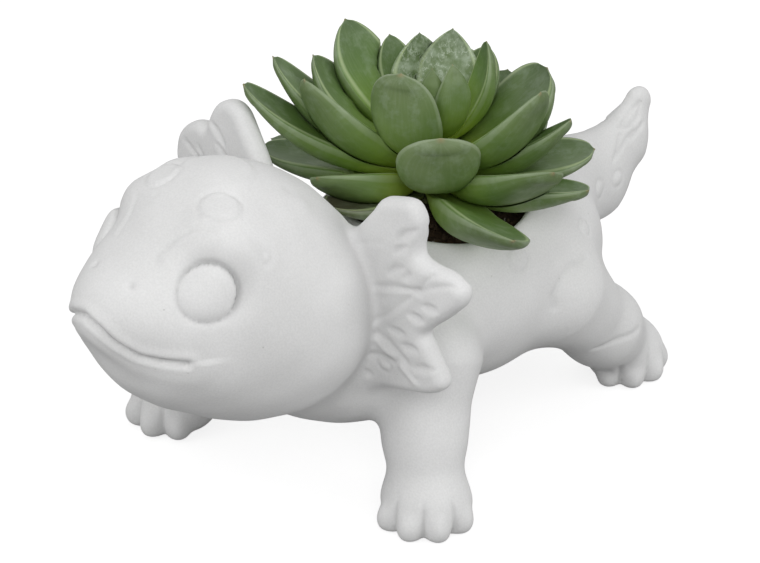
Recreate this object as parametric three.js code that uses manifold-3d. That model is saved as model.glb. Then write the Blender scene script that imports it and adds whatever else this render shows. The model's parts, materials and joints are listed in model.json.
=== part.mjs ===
// Axolotl planter: a white bisque ceramic animal with a pot in its back, potted with a rosette succulent.
// Millimetres. X is the animal's left, +Y runs towards its tail, +Z is up.
// The pot's axis is the line X = 0, Y = 0 and the soles stand on Z = 0 while the shapes are made.
// The finished group is then moved so that its origin is the bottom centre of its box.
import * as THREE from 'three';
import { mergeVertices } from 'three/addons/utils/BufferGeometryUtils.js';
import Module from 'manifold-3d';

const wasm = await Module();
wasm.setup();

// Trunk
const BACK_HEIGHT = 80;
const BELLY_HEIGHT = 17;
const TRUNK_WIDTH = 75;
const TRUNK_LENGTH = 104;
const TRUNK_SHIFT = 4;
const RUMP = { centre: [0, 25, 46], size: [56, 56, 50] };
const CHEST = { centre: [0, -36, 42], size: [60, 52, 44] };
const NECK = { fromHead: [0, 17, -18.5], toChest: [0, -34, 42], width: 46 };

// Head, in its own frame: the origin is the middle of the cranium and -Y is forward
const HEAD_WIDTH = 64;
const HEAD_LENGTH = 68;
const HEAD_HEIGHT = 69;
const HEAD_BELOW_BACK = 8.5;
const HEAD_TO_POT = 18;
const HEAD_TURN = 6;
const HEAD_SHIFT = -2;
const CHEEKS = { centre: [0, 12, -7.5], size: [68, 60, 62] };
const JAW = { centre: [0, -12, -6], size: [52, 52, 42] };
const MUZZLE = { centre: [0, -19, 4.5], size: [41, 50, 30] };
const BROWS = { centre: [13.5, -7.5, 17], size: [26, 27, 26] };
const EYE_RADIUS = 8.4;
const EYE_RELIEF = 1.2;
const EYE_SINK = 1.7;
const EYE_DIRECTION = [23.1, -21.8, 14.5];

// Widths over which two neighbouring shapes run into each other
const SOFT = {
  cheeks: 8, brows: 4, jaw: 5, muzzle: 7, trunk: 10, neck: 8, tail: 9, spine: 3, leg: 6, head: 5,
};

// Gill fans: flat plates on both sides of the back of the head
const GILL_THICKNESS = 6.4;
const GILL_ROUNDING = 2;
const GILL_SWEEP = 4;
const GILL_BEHIND_CRANIUM = 3.5;
const GILL_ROOT = [[6, -30], [19, -31.5], [38, -26.6]];
const GILL_LEFT = [
  [46.8, -23.9], [52, -20.2], [51.3, -16], [47.4, -10.4], [45.2, -6.6], [54.2, 1.8], [58.8, 6.9],
  [58.9, 11.2], [54, 13.7], [44.8, 14.2], [42.4, 16.4], [43.6, 23.5], [42.6, 27.3], [39.3, 29.8],
  [33, 28.3], [28.4, 26.3], [24.8, 21.5], [19, 15], [12, 11], [5, 9],
];
const GILL_RIGHT = [
  [47.5, -23], [53, -19.5], [52.3, -12], [48.8, -5.5],
  [56.5, 0], [62.5, 4.5], [61.5, 12], [57, 17], [52, 19.3], [47.3, 19.4], [44.8, 24.5], [41.5, 29],
  [36.5, 31.4], [31.5, 30.5], [27.5, 26.5], [23.5, 21.5], [18.5, 15], [12, 11], [5, 9],
];

// Pot
const MOUTH_RADIUS = 27;
const POT_TAPER = 5;
const POT_CORNER = 7;
const RIM_FLARE = 6;
const FLOOR_THICKNESS = 8;
const DRAIN_RADIUS = 2.5;
const DRAIN_CIRCLE = 6;
const DRAIN_COUNT = 3;
const SCREEN_MARGIN = 5;
const SCREEN_THICKNESS = 1;
const SCREEN_PITCH = 3.6;
const SCREEN_WIRE = 1.2;
const SCREEN_SIDES = 32;

// Legs: each place is measured from the hip, which sits in the trunk's side
const HIP_INSET = 9.5;
const HIP_HEIGHT = 42;
const FRONT_LEG = { hipRadius: 15, kneeRadius: 10.4, ankleRadius: 10, kneeHeight: 24, pad: 12.5 };
const HIND_LEG = { hipRadius: 14.5, kneeRadius: 11, ankleRadius: 9.5, kneeHeight: 23, pad: 11.4 };
const LEGS = [
  { side: 1, hip: -31, knee: [5.2, -6.6], foot: [10.3, -11.3], heading: 40, shape: FRONT_LEG },
  { side: -1, hip: -36, knee: [14.4, -10.6], foot: [22.8, -16.4], heading: 12, shape: FRONT_LEG },
  { side: 1, hip: 22, knee: [-0.8, 20.5], foot: [-5, 36.4], heading: 78, shape: HIND_LEG },
  { side: -1, hip: 22, knee: [5, 18], foot: [6, 28], heading: 60, shape: HIND_LEG },
];
const ANKLE_HEIGHT = 9;
const FOOT_HEIGHT = 16;
const FOOT_SINK = 1.5;
const TOE_WIDTH = 8.2;
const TOE_LENGTH = 12;
const TOE_HEIGHT = 11;
const TOE_SPREAD = [-62, -21, 21, 62];
const TOE_OUT = 4;

// Tail: spine points behind the trunk's end, as [distance along Y, height, half-height]
const TAIL_SPINE = [[-6, 53, 17.5], [13, 52.5, 13.8], [25.5, 59, 9.6], [32.5, 69.5, 5]];
const TAIL_FLATNESS = 0.66;

// Plant
const FIT_GAP = 0.3;
const ROOT_BALL_CLEARANCE = 0.6;
const SOIL_BELOW_RIM = 2;
const SOIL_CROWN = 1.5;
const CROWN_ABOVE_SOIL = 6.15;
const STEM_RADIUS = 5;
const STEM_TIP_ABOVE_CROWN = 17;
const STEM_TIP_RADIUS = 1;
const LEAF_DEPTH = 0.43;
const LEAF_BODY = { root: 0.44, swell: 0.56, fullness: 1.1, taper: 0.06 };
const LEAF_BASE_SHARE = 0.4;
const LEAF_WIDEST = 0.64;
const LEAF_TIP = { squareness: 2.6, bluntness: 0.48 };
const LEAF_SAG = 3;
const LEAF_SAG_RISE = 15;
const LEAF_LEVEL_RISE = 7;
const LEAF_STATIONS = [0, 0.16, 0.36, 0.56, 0.75, 0.9, 0.975];
const LEAF_TOP = 0.14;
const LEAF_KEEL = 0.86;
const LEAF_SECTION = [
  [1, 0], [0.5, LEAF_TOP], [-0.5, LEAF_TOP], [-1, 0],
  [-0.8, -0.55 * LEAF_KEEL], [-0.34, -LEAF_KEEL], [0.34, -LEAF_KEEL], [0.8, -0.55 * LEAF_KEEL],
];
const LEAF_ROLL_START = 0.4;
const PRESS_GAP = 0.45;

// One row per leaf, from the lowest on the stem to the highest: azimuth in degrees (0 to the head,
// 90 to the animal's left), reach of the tip from the axis, height of the tip above the crown, width
// and, where the leaf is rolled about its length, that angle
const LOWEST_SEAT = -2.4;
const HIGHEST_SEAT = 14;
const LEAVES = {
  outer: [
    [-166, 44, 16, 18], [-4, 38, 4, 16], [-66, 48, 4.5, 16], [65, 58, 8.4, 21, -25], [168, 38, 12, 18],
    [108, 47, 6.5, 20, -12], [-54, 48, 6.5, 18], [-138, 46, 11, 18], [134, 45, 9, 18, 8], [-105, 47, 10, 18],
  ],
  lower: [
    [-10, 39, 11.5, 21, 22], [88, 46, 18, 21, -18], [-178, 42, 16, 19], [-38, 52, 32, 18],
    [118, 39, 23, 18, -8], [-124, 42, 20, 18],
  ],
  middle: [
    [-52, 44, 35, 17], [47, 33, 28, 23], [-150, 38, 24, 18], [-26, 37, 36, 20, 16], [152, 33.5, 29, 27],
    [96, 36, 36.5, 21],
  ],
  upper: [
    [-61, 34, 33.6, 20], [18, 20, 40, 20], [-170, 28, 30, 15], [-86, 31.5, 39.3, 20],
    [-112, 29, 32, 12], [147, 15, 40, 14],
  ],
  inner: [[-125, 18, 36.4, 17], [-153, 20, 37, 18]],
  core: [[75, 10, 38.5, 11.5], [42, 8, 37, 9]],
};
const HEART_RADIUS = 3.2;
const HEART_HEIGHT = 16;

const GRID_STEP = 5.2;
const HALF = 0.5;
const rad = THREE.MathUtils.degToRad;

// Places that follow from the sizes above
const trunkMiddle = (BACK_HEIGHT + BELLY_HEIGHT) * HALF;
const trunkHalfHeight = (BACK_HEIGHT - BELLY_HEIGHT) * HALF;
const trunkEnd = TRUNK_LENGTH * HALF + TRUNK_SHIFT;
const headHeight = BACK_HEIGHT - HEAD_BELOW_BACK;
const headPlace = [HEAD_SHIFT, -(MOUTH_RADIUS + HEAD_TO_POT + HEAD_LENGTH * HALF), headHeight];
const gillPlane = HEAD_LENGTH * HALF - GILL_BEHIND_CRANIUM;
const potFloor = BELLY_HEIGHT + FLOOR_THICKNESS;
const floorRadius = MOUTH_RADIUS - POT_TAPER;
const rimSideHeight = trunkMiddle + trunkHalfHeight * Math.sqrt(1 - (2 * MOUTH_RADIUS / TRUNK_WIDTH) ** 2);
const soilHeight = rimSideHeight - SOIL_BELOW_RIM;
const soilTop = soilHeight + SOIL_CROWN;
const crown = soilTop + CROWN_ABOVE_SOIL;

// Signed distances: negative inside, about a millimetre per millimetre near the surface

function blend(a, b, width) {
  const near = Math.max(width - Math.abs(a - b), 0) / width;
  return Math.min(a, b) - near * near * width * 0.25;
}

function ellipsoid(point, centre, radii) {
  const x = (point[0] - centre[0]) / radii[0];
  const y = (point[1] - centre[1]) / radii[1];
  const z = (point[2] - centre[2]) / radii[2];
  const reach = Math.hypot(x, y, z);
  const slope = Math.hypot(x / radii[0], y / radii[1], z / radii[2]);
  return reach * (reach - 1) / Math.max(slope, 1e-6);
}

const lump = (point, shape) => ellipsoid(point, shape.centre, shape.size.map((size) => size * HALF));

// A limb that tapers from radius a to radius b between two points
function limb(point, start, end, startRadius, endRadius) {
  const along = [end[0] - start[0], end[1] - start[1], end[2] - start[2]];
  const from = [point[0] - start[0], point[1] - start[1], point[2] - start[2]];
  const square = along[0] ** 2 + along[1] ** 2 + along[2] ** 2;
  const dot = from[0] * along[0] + from[1] * along[1] + from[2] * along[2];
  const share = THREE.MathUtils.clamp(dot / square, 0, 1);
  const off = Math.hypot(...from.map((value, axis) => value - along[axis] * share));
  return off - (startRadius + (endRadius - startRadius) * share);
}

function toHead(point) {
  const cos = Math.cos(rad(HEAD_TURN));
  const sin = Math.sin(rad(HEAD_TURN));
  const x = point[0] - headPlace[0];
  const y = point[1] - headPlace[1];
  return [x * cos - y * sin, x * sin + y * cos, point[2] - headPlace[2]];
}

function fromHead(point) {
  const cos = Math.cos(rad(HEAD_TURN));
  const sin = Math.sin(rad(HEAD_TURN));
  const x = point[0] * cos + point[1] * sin;
  const y = -point[0] * sin + point[1] * cos;
  return [x + headPlace[0], y + headPlace[1], point[2] + headPlace[2]];
}

function headDistance(point) {
  const cranium = lump(point, { centre: [0, 0, 0], size: [HEAD_WIDTH, HEAD_LENGTH, HEAD_HEIGHT] });
  let head = blend(cranium, lump(point, CHEEKS), SOFT.cheeks);
  head = blend(head, lump([Math.abs(point[0]), point[1], point[2]], BROWS), SOFT.brows);
  return blend(blend(head, lump(point, JAW), SOFT.jaw), lump(point, MUZZLE), SOFT.muzzle);
}

function tailDistance(point) {
  const flat = (p) => [p[0] / TAIL_FLATNESS, p[1], p[2]];
  let nearest = Infinity;
  for (let i = 0; i + 1 < TAIL_SPINE.length; i += 1) {
    const [startAlong, startHeight, startRadius] = TAIL_SPINE[i];
    const [endAlong, endHeight, endRadius] = TAIL_SPINE[i + 1];
    const start = [0, trunkEnd + startAlong, startHeight];
    const end = [0, trunkEnd + endAlong, endHeight];
    const length = limb(flat(point), start, end, startRadius, endRadius);
    nearest = i === 0 ? length : blend(nearest, length, SOFT.spine);
  }
  return nearest * 0.8;
}

// Hip, knee and foot of a leg in the whole animal's frame
function legJoints(leg) {
  const hipSide = TRUNK_WIDTH * HALF - HIP_INSET;
  const at = ([out, back], height) => [leg.side * (hipSide + out), leg.hip + back, height];
  return {
    hip: at([0, 0], HIP_HEIGHT),
    knee: at(leg.knee, leg.shape.kneeHeight),
    foot: at(leg.foot, ANKLE_HEIGHT),
  };
}

function legDistance(point, leg) {
  const { hip, knee, foot } = legJoints(leg);
  const { hipRadius, kneeRadius, ankleRadius, pad } = leg.shape;
  const thigh = limb(point, hip, knee, hipRadius, kneeRadius);
  const shin = limb(point, knee, foot, kneeRadius, ankleRadius);
  const sole = [foot[0], foot[1], FOOT_HEIGHT * HALF - FOOT_SINK];
  const footPad = ellipsoid(point, sole, [pad, pad * 0.9, FOOT_HEIGHT * HALF]);
  return blend(blend(thigh, shin, SOFT.leg), footPad, SOFT.leg);
}

function bodyDistance(point) {
  const trunk = lump(point, {
    centre: [0, TRUNK_SHIFT, trunkMiddle],
    size: [TRUNK_WIDTH, TRUNK_LENGTH, BACK_HEIGHT - BELLY_HEIGHT],
  });
  const neckStart = NECK.fromHead.map((offset, axis) => headPlace[axis] + offset);
  const neck = limb(point, neckStart, NECK.toChest, NECK.width * HALF, NECK.width * HALF);
  let whole = blend(trunk, lump(point, RUMP), SOFT.trunk);
  whole = blend(whole, neck, SOFT.neck);
  whole = blend(whole, lump(point, CHEST), SOFT.trunk);
  whole = blend(whole, tailDistance(point), SOFT.tail);
  for (const leg of LEGS) {
    whole = blend(whole, legDistance(point, leg), SOFT.leg);
  }
  return blend(whole, headDistance(toHead(point)), SOFT.head);
}

function gradient(distance, point) {
  const small = 0.2;
  return [0, 1, 2].map((axis) => {
    const ahead = [...point];
    const behind = [...point];
    ahead[axis] += small;
    behind[axis] -= small;
    return (distance(ahead) - distance(behind)) / (2 * small);
  });
}

// Moves a point along the gradient until it lies on the surface
function ontoSurface(distance, point) {
  let place = point;
  for (let pass = 0; pass < 4; pass += 1) {
    const slope = gradient(distance, place);
    const square = slope[0] ** 2 + slope[1] ** 2 + slope[2] ** 2;
    const step = distance(place) / Math.max(square, 0.2);
    place = place.map((value, axis) => value - slope[axis] * step);
  }
  return place;
}

// The edges of a grid cell. A corner's bits are its steps along X, Y and Z.
const CELL_EDGES = [];
for (let corner = 0; corner < 8; corner += 1) {
  for (let axis = 0; axis < 3; axis += 1) {
    const other = corner | (1 << axis);
    if (other !== corner) CELL_EDGES.push({ corner, other, axis });
  }
}

// Which sheet of the surface crosses each edge of a cell, from the mask of the corners inside.
// On a face that is crossed four times, the two crossings beside an inside corner belong together.
function cellSheets(mask) {
  const inside = (corner) => (mask >> corner) & 1;
  const sheets = CELL_EDGES.map(({ corner, other }, i) => (inside(corner) !== inside(other) ? i : -1));
  const join = (i, j) => {
    const old = sheets[j];
    sheets.forEach((sheet, edge) => {
      if (sheet === old) sheets[edge] = sheets[i];
    });
  };
  const innerCorner = ({ corner, other }) => (inside(corner) ? corner : other);
  for (let axis = 0; axis < 3; axis += 1) {
    for (const side of [0, 1]) {
      const onFace = (corner) => ((corner >> axis) & 1) === side;
      const crossed = [...sheets.keys()].filter((i) => (
        sheets[i] >= 0 && onFace(CELL_EDGES[i].corner) && onFace(CELL_EDGES[i].other)
      ));
      for (const i of crossed) {
        for (const j of crossed) {
          const shared = innerCorner(CELL_EDGES[i]) === innerCorner(CELL_EDGES[j]);
          if (crossed.length === 2 || shared) join(i, j);
        }
      }
    }
  }
  return sheets;
}

// Closed mesh of the zero surface: one vertex for each sheet of the surface in each grid cell
function surfaceNet(distance, low, high, step) {
  const count = low.map((value, axis) => Math.ceil((high[axis] - value) / step) + 1);
  const index = (i, j, k) => (k * count[1] + j) * count[0] + i;
  const place = (i, j, k) => [low[0] + i * step, low[1] + j * step, low[2] + k * step];
  const values = new Float64Array(count[0] * count[1] * count[2]);
  for (let k = 0; k < count[2]; k += 1) {
    for (let j = 0; j < count[1]; j += 1) {
      for (let i = 0; i < count[0]; i += 1) {
        values[index(i, j, k)] = distance(place(i, j, k));
      }
    }
  }

  const positions = [];
  const vertexOf = new Map();
  const sheetsOf = new Map();
  const bits = (corner) => [corner & 1, (corner >> 1) & 1, (corner >> 2) & 1];
  // The vertex of the sheet that crosses one edge of the cell at i, j, k
  const sheetVertex = (i, j, k, corner, axis) => {
    const valueAt = (c) => {
      const [di, dj, dk] = bits(c);
      return values[index(i + di, j + dj, k + dk)];
    };
    let mask = 0;
    for (let c = 0; c < 8; c += 1) {
      mask |= (valueAt(c) < 0 ? 1 : 0) << c;
    }
    if (!sheetsOf.has(mask)) sheetsOf.set(mask, cellSheets(mask));
    const sheets = sheetsOf.get(mask);
    const sheet = sheets[CELL_EDGES.findIndex((edge) => edge.corner === corner && edge.axis === axis)];
    const key = index(i, j, k) * CELL_EDGES.length + sheet;
    if (!vertexOf.has(key)) {
      const crossings = CELL_EDGES.filter((_, edge) => sheets[edge] === sheet).map((edge) => {
        const va = valueAt(edge.corner);
        const point = bits(edge.corner);
        point[edge.axis] += va / (va - valueAt(edge.other));
        return point;
      });
      const start = place(i, j, k);
      const guess = start.map((value, a) => {
        const sum = crossings.reduce((total, point) => total + point[a], 0);
        return value + step * sum / crossings.length;
      });
      vertexOf.set(key, positions.length / 3);
      positions.push(...ontoSurface(distance, guess));
    }
    return vertexOf.get(key);
  };

  const apart = (a, b) => {
    const steps = [0, 1, 2].map((axis) => positions[3 * a + axis] - positions[3 * b + axis]);
    return Math.hypot(...steps);
  };
  const triangles = [];
  for (let k = 1; k + 1 < count[2]; k += 1) {
    for (let j = 1; j + 1 < count[1]; j += 1) {
      for (let i = 1; i + 1 < count[0]; i += 1) {
        for (let axis = 0; axis < 3; axis += 1) {
          const next = [i, j, k];
          next[axis] += 1;
          const here = values[index(i, j, k)] < 0;
          if (here === values[index(...next)] < 0) continue;
          const u = (axis + 1) % 3;
          const v = (axis + 2) % 3;
          const ring = [[0, 0], [1, 0], [1, 1], [0, 1]].map(([du, dv]) => {
            const cell = [i, j, k];
            cell[u] -= du;
            cell[v] -= dv;
            return sheetVertex(...cell, (du << u) | (dv << v), axis);
          });
          if (!here) ring.reverse();
          const [a, b, c, d] = ring;
          if (apart(a, c) < apart(b, d)) {
            triangles.push(a, b, c, a, c, d);
          } else {
            triangles.push(a, b, d, b, c, d);
          }
        }
      }
    }
  }
  const geometry = new THREE.BufferGeometry();
  geometry.setAttribute('position', new THREE.Float32BufferAttribute(positions, 3));
  geometry.setIndex(triangles);
  return geometry;
}

// Solids and geometries

function signedVolume(positions, triangles) {
  const corner = (i) => new THREE.Vector3().fromArray(positions, 3 * triangles[i]);
  let six = 0;
  for (let i = 0; i < triangles.length; i += 3) {
    six += corner(i).dot(corner(i + 1).cross(corner(i + 2)));
  }
  return six / 6;
}

// A closed geometry as a solid, its faces turned out
function solid(geometry) {
  const bare = geometry.clone();
  bare.deleteAttribute('normal');
  bare.deleteAttribute('uv');
  const merged = mergeVertices(bare, 1e-4);
  const vertProperties = Float32Array.from(merged.getAttribute('position').array);
  const triVerts = Uint32Array.from(merged.index.array);
  if (signedVolume(vertProperties, triVerts) < 0) {
    triVerts.reverse();
  }
  return new wasm.Manifold(new wasm.Mesh({ numProp: 3, vertProperties, triVerts }));
}

function geometryOf(manifold) {
  const mesh = manifold.getMesh();
  const geometry = new THREE.BufferGeometry();
  geometry.setAttribute('position', new THREE.Float32BufferAttribute(mesh.vertProperties, mesh.numProp));
  geometry.setIndex(Array.from(mesh.triVerts));
  geometry.computeVertexNormals();
  return geometry;
}

// A solid turned about Z; the profile's points are [radius, height] and start and end on the axis
function turned(profile, sides) {
  const points = profile.map(([radius, height]) => new THREE.Vector2(radius, height));
  return solid(new THREE.LatheGeometry(points, sides).rotateX(Math.PI * HALF));
}

// An egg: a sphere stretched along its own axes, turned by a quaternion and set in place
function egg(centre, radii, quaternion, sides, bands) {
  const geometry = new THREE.SphereGeometry(1, sides, bands);
  geometry.scale(...radii);
  geometry.applyQuaternion(quaternion);
  geometry.translate(...centre);
  return solid(geometry);
}

function toes(leg) {
  const { foot } = legJoints(leg);
  const middle = TOE_HEIGHT * HALF - FOOT_SINK;
  const front = leg.shape.pad - TOE_OUT;
  return TOE_SPREAD.map((spread) => {
    const out = rad(leg.side * leg.heading + spread);
    const centre = [foot[0] + Math.sin(out) * front, foot[1] - Math.cos(out) * front, middle];
    const turn = new THREE.Quaternion().setFromAxisAngle(new THREE.Vector3(0, 0, 1), out);
    return egg(centre, [TOE_WIDTH * HALF, TOE_LENGTH * HALF, TOE_HEIGHT * HALF], turn, 10, 6);
  });
}

function eye(side) {
  const start = [side * EYE_DIRECTION[0], EYE_DIRECTION[1], EYE_DIRECTION[2]];
  const surface = ontoSurface(headDistance, start);
  const out = new THREE.Vector3(...gradient(headDistance, surface)).normalize();
  const centre = new THREE.Vector3(...surface).addScaledVector(out, -EYE_SINK).toArray();
  const upright = new THREE.Quaternion().setFromUnitVectors(new THREE.Vector3(0, 0, 1), out);
  const turn = new THREE.Quaternion().setFromAxisAngle(new THREE.Vector3(0, 0, 1), -rad(HEAD_TURN));
  const radii = [EYE_RADIUS, EYE_RADIUS, EYE_SINK + EYE_RELIEF];
  return egg(fromHead(centre), radii, turn.multiply(upright), 16, 8);
}

function gillFan(side) {
  const points = [...GILL_ROOT, ...(side > 0 ? GILL_LEFT : GILL_RIGHT)];
  const outline = points.map(([out, up]) => new THREE.Vector2(side * out, up));
  const geometry = new THREE.ExtrudeGeometry(new THREE.Shape(outline), {
    depth: GILL_THICKNESS - 2 * GILL_ROUNDING,
    bevelThickness: GILL_ROUNDING,
    bevelSize: GILL_ROUNDING,
    bevelOffset: -GILL_ROUNDING,
    bevelSegments: 2,
  });
  geometry.translate(0, 0, GILL_ROUNDING - GILL_THICKNESS * HALF);
  geometry.rotateX(Math.PI * HALF);
  geometry.rotateZ(side * rad(GILL_SWEEP));
  geometry.translate(0, gillPlane, 0);
  geometry.rotateZ(-rad(HEAD_TURN));
  geometry.translate(...headPlace);
  return solid(geometry);
}

// The pot's hollow, as the solid that is cut out of the trunk
function potHollow() {
  const top = 2 * BACK_HEIGHT;
  const rim = rimSideHeight;
  return turned([
    [0, potFloor],
    [floorRadius - POT_CORNER, potFloor],
    [floorRadius - POT_CORNER * 0.3, potFloor + POT_CORNER * 0.3],
    [floorRadius, potFloor + POT_CORNER],
    [MOUTH_RADIUS, rim],
    [MOUTH_RADIUS + RIM_FLARE, BACK_HEIGHT],
    [MOUTH_RADIUS + RIM_FLARE, top],
    [0, top],
  ], 40);
}

function drainHoles() {
  return Array.from({ length: DRAIN_COUNT }, (_, i) => {
    const angle = 2 * Math.PI * i / DRAIN_COUNT;
    const geometry = new THREE.CylinderGeometry(DRAIN_RADIUS, DRAIN_RADIUS, 4 * FLOOR_THICKNESS, 16);
    geometry.rotateX(Math.PI * HALF);
    geometry.translate(DRAIN_CIRCLE * Math.sin(angle), DRAIN_CIRCLE * Math.cos(angle), potFloor);
    return solid(geometry);
  });
}

function planterBody() {
  const low = [-TRUNK_WIDTH, headPlace[1] - HEAD_LENGTH, -2 * GRID_STEP];
  const tailTip = TAIL_SPINE.at(-1);
  const tailEnd = trunkEnd + tailTip[0] + 2 * tailTip[2];
  const high = [TRUNK_WIDTH, tailEnd, headHeight + HEAD_HEIGHT];
  let body = solid(surfaceNet(bodyDistance, low, high, GRID_STEP));
  for (const side of [1, -1]) {
    body = body.add(gillFan(side)).add(eye(side));
  }
  for (const leg of LEGS) {
    for (const toe of toes(leg)) {
      body = body.add(toe);
    }
  }
  body = body.subtract(potHollow());
  for (const hole of drainHoles()) {
    body = body.subtract(hole);
  }
  const reach = 2 * (tailEnd - low[1]);
  const underground = new THREE.BoxGeometry(reach, reach, BACK_HEIGHT).translate(0, 0, -BACK_HEIGHT * HALF);
  return geometryOf(body.subtract(solid(underground)));
}

// A round disc with rows of square openings
function drainScreen() {
  const radius = DRAIN_CIRCLE + DRAIN_RADIUS + SCREEN_MARGIN;
  const opening = SCREEN_PITCH - SCREEN_WIRE;
  const rows = Math.floor(radius / SCREEN_PITCH);
  const disc = new THREE.CylinderGeometry(radius, radius, SCREEN_THICKNESS, SCREEN_SIDES);
  let screen = solid(disc.rotateX(Math.PI * HALF));
  for (let row = -rows; row <= rows; row += 1) {
    for (let column = -rows; column <= rows; column += 1) {
      const x = row * SCREEN_PITCH;
      const y = column * SCREEN_PITCH;
      const corner = Math.hypot(Math.abs(x) + opening * HALF, Math.abs(y) + opening * HALF);
      if (corner > radius - SCREEN_WIRE) continue;
      const cutter = new THREE.BoxGeometry(opening, opening, 2 * SCREEN_THICKNESS).translate(x, y, 0);
      screen = screen.subtract(solid(cutter));
    }
  }
  return geometryOf(screen).translate(0, 0, potFloor + FIT_GAP + SCREEN_THICKNESS * HALF);
}

// The soil follows the pot's wall with its clearance and rests on the screen
function rootBall() {
  const bottom = potFloor + FIT_GAP + SCREEN_THICKNESS + FIT_GAP;
  const wall = (height) => {
    const share = (height - potFloor - POT_CORNER) / (rimSideHeight - potFloor - POT_CORNER);
    return floorRadius + (MOUTH_RADIUS - floorRadius) * share - ROOT_BALL_CLEARANCE;
  };
  const shoulder = potFloor + POT_CORNER + 1;
  const ball = turned([
    [0, bottom],
    [floorRadius - POT_CORNER - ROOT_BALL_CLEARANCE, bottom],
    [wall(shoulder), shoulder],
    [wall(soilHeight), soilHeight],
    [STEM_RADIUS, soilTop],
    [0, soilTop],
  ], 32);
  return geometryOf(ball);
}

// The stem's radius at a height: straight up to the crown, then narrowing to its tip
function stemRadius(height) {
  const share = THREE.MathUtils.clamp((height - crown) / STEM_TIP_ABOVE_CROWN, 0, 1);
  return STEM_RADIUS + (STEM_TIP_RADIUS - STEM_RADIUS) * share;
}

function plantStem() {
  const bottom = soilTop + FIT_GAP;
  const tip = crown + STEM_TIP_ABOVE_CROWN;
  return geometryOf(turned([
    [0, bottom],
    [STEM_RADIUS, bottom],
    [STEM_RADIUS, crown],
    [stemRadius(tip), tip],
    [0, tip],
  ], 16));
}

function rosetteHeart() {
  const bottom = crown + STEM_TIP_ABOVE_CROWN + FIT_GAP;
  return geometryOf(turned([
    [0, bottom],
    [HEART_RADIUS * 0.5, bottom],
    [HEART_RADIUS, bottom + HEART_HEIGHT * 0.4],
    [HEART_RADIUS * 0.7, bottom + HEART_HEIGHT * 0.75],
    [0, bottom + HEART_HEIGHT],
  ], 8));
}

// Half the leaf's width at a share of its length, as a share of the widest half
function leafOutline(share) {
  if (share < LEAF_WIDEST) {
    return LEAF_BASE_SHARE + (1 - LEAF_BASE_SHARE) * Math.sin(Math.PI * HALF * share / LEAF_WIDEST);
  }
  const beyond = (share - LEAF_WIDEST) / (1 - LEAF_WIDEST);
  return Math.max(1 - beyond ** LEAF_TIP.squareness, 0) ** LEAF_TIP.bluntness;
}

function leafThickness(width, share) {
  const { root, swell, fullness, taper } = LEAF_BODY;
  const belly = Math.sin(Math.PI * Math.min(share * fullness, 1));
  return LEAF_DEPTH * width * (root + swell * belly - taper * share);
}

// One fleshy leaf: nearly flat above, round below, its tip blunt.
// The margin grows it on every side, to press its shape into a neighbour with a gap.
function leaf([azimuth, reach, rise, width, roll = 0], seat, margin) {
  const seatHeight = crown + seat;
  const steep = Math.atan2(rise - seat, reach);
  const bend = LEAF_SAG * THREE.MathUtils.clamp((rise - seat - LEAF_LEVEL_RISE) / LEAF_SAG_RISE, -1, 1);
  const base = leafThickness(width, 0);
  const below = base * LEAF_KEEL * Math.cos(steep);
  const towardsStem = base * (steep > 0 ? LEAF_TOP : LEAF_KEEL) * Math.abs(Math.sin(steep));
  const back = stemRadius(seatHeight - below) + FIT_GAP + towardsStem;
  const start = new THREE.Vector3(back, 0, seatHeight);
  const tip = new THREE.Vector3(reach, 0, crown + rise);
  const along = tip.clone().sub(start).normalize();
  const upward = new THREE.Vector3(-along.z, 0, along.x);
  start.addScaledVector(along, -margin);
  tip.addScaledVector(along, margin);
  const chord = tip.clone().sub(start);
  const positions = [];
  for (const share of LEAF_STATIONS) {
    const sag = bend * 4 * share * (1 - share);
    const centre = start.clone().addScaledVector(chord, share).addScaledVector(upward, -sag);
    const thickness = leafThickness(width, share);
    const half = width * HALF * leafOutline(share);
    const turn = rad(roll) * Math.min(share / LEAF_ROLL_START, 1);
    for (const [across, up] of LEAF_SECTION) {
      const aside = across * (half + margin);
      const above = up * thickness + Math.sign(up) * margin;
      const point = centre.clone().addScaledVector(upward, aside * Math.sin(turn) + above * Math.cos(turn));
      positions.push(point.x, point.y + aside * Math.cos(turn) - above * Math.sin(turn), point.z);
    }
  }
  positions.push(tip.x, tip.y, tip.z);
  const sides = LEAF_SECTION.length;
  const last = (LEAF_STATIONS.length - 1) * sides;
  const tipIndex = LEAF_STATIONS.length * sides;
  const triangles = [];
  for (let side = 0; side < sides; side += 1) {
    const next = (side + 1) % sides;
    for (let ring = 0; ring < last; ring += sides) {
      const a = ring + side;
      const b = ring + next;
      triangles.push(a, b, b + sides, a, b + sides, a + sides);
    }
    triangles.push(last + side, last + next, tipIndex);
  }
  for (let side = 1; side + 1 < sides; side += 1) {
    triangles.push(0, side + 1, side);
  }
  const geometry = new THREE.BufferGeometry();
  geometry.setAttribute('position', new THREE.Float32BufferAttribute(positions, 3));
  geometry.setIndex(triangles);
  geometry.rotateZ(rad(azimuth - 90));
  return solid(geometry);
}

// All leaves with their seats up the stem. Where two press on each other, the lower one takes the imprint.
function rosette() {
  const rows = Object.entries(LEAVES).flatMap(([row, leaves]) => (
    leaves.map((sizes, i) => ({ name: `leaf_${row}_${i + 1}`, row, sizes }))
  ));
  const rise = (HIGHEST_SEAT - LOWEST_SEAT) / (rows.length - 1);
  rows.forEach((item, i) => {
    item.seat = LOWEST_SEAT + rise * i;
    item.body = leaf(item.sizes, item.seat, 0);
    for (const lower of rows.slice(0, i)) {
      lower.body = lower.body.subtract(leaf(item.sizes, item.seat, PRESS_GAP));
    }
  });
  return rows;
}

// Materials and assembly

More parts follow.
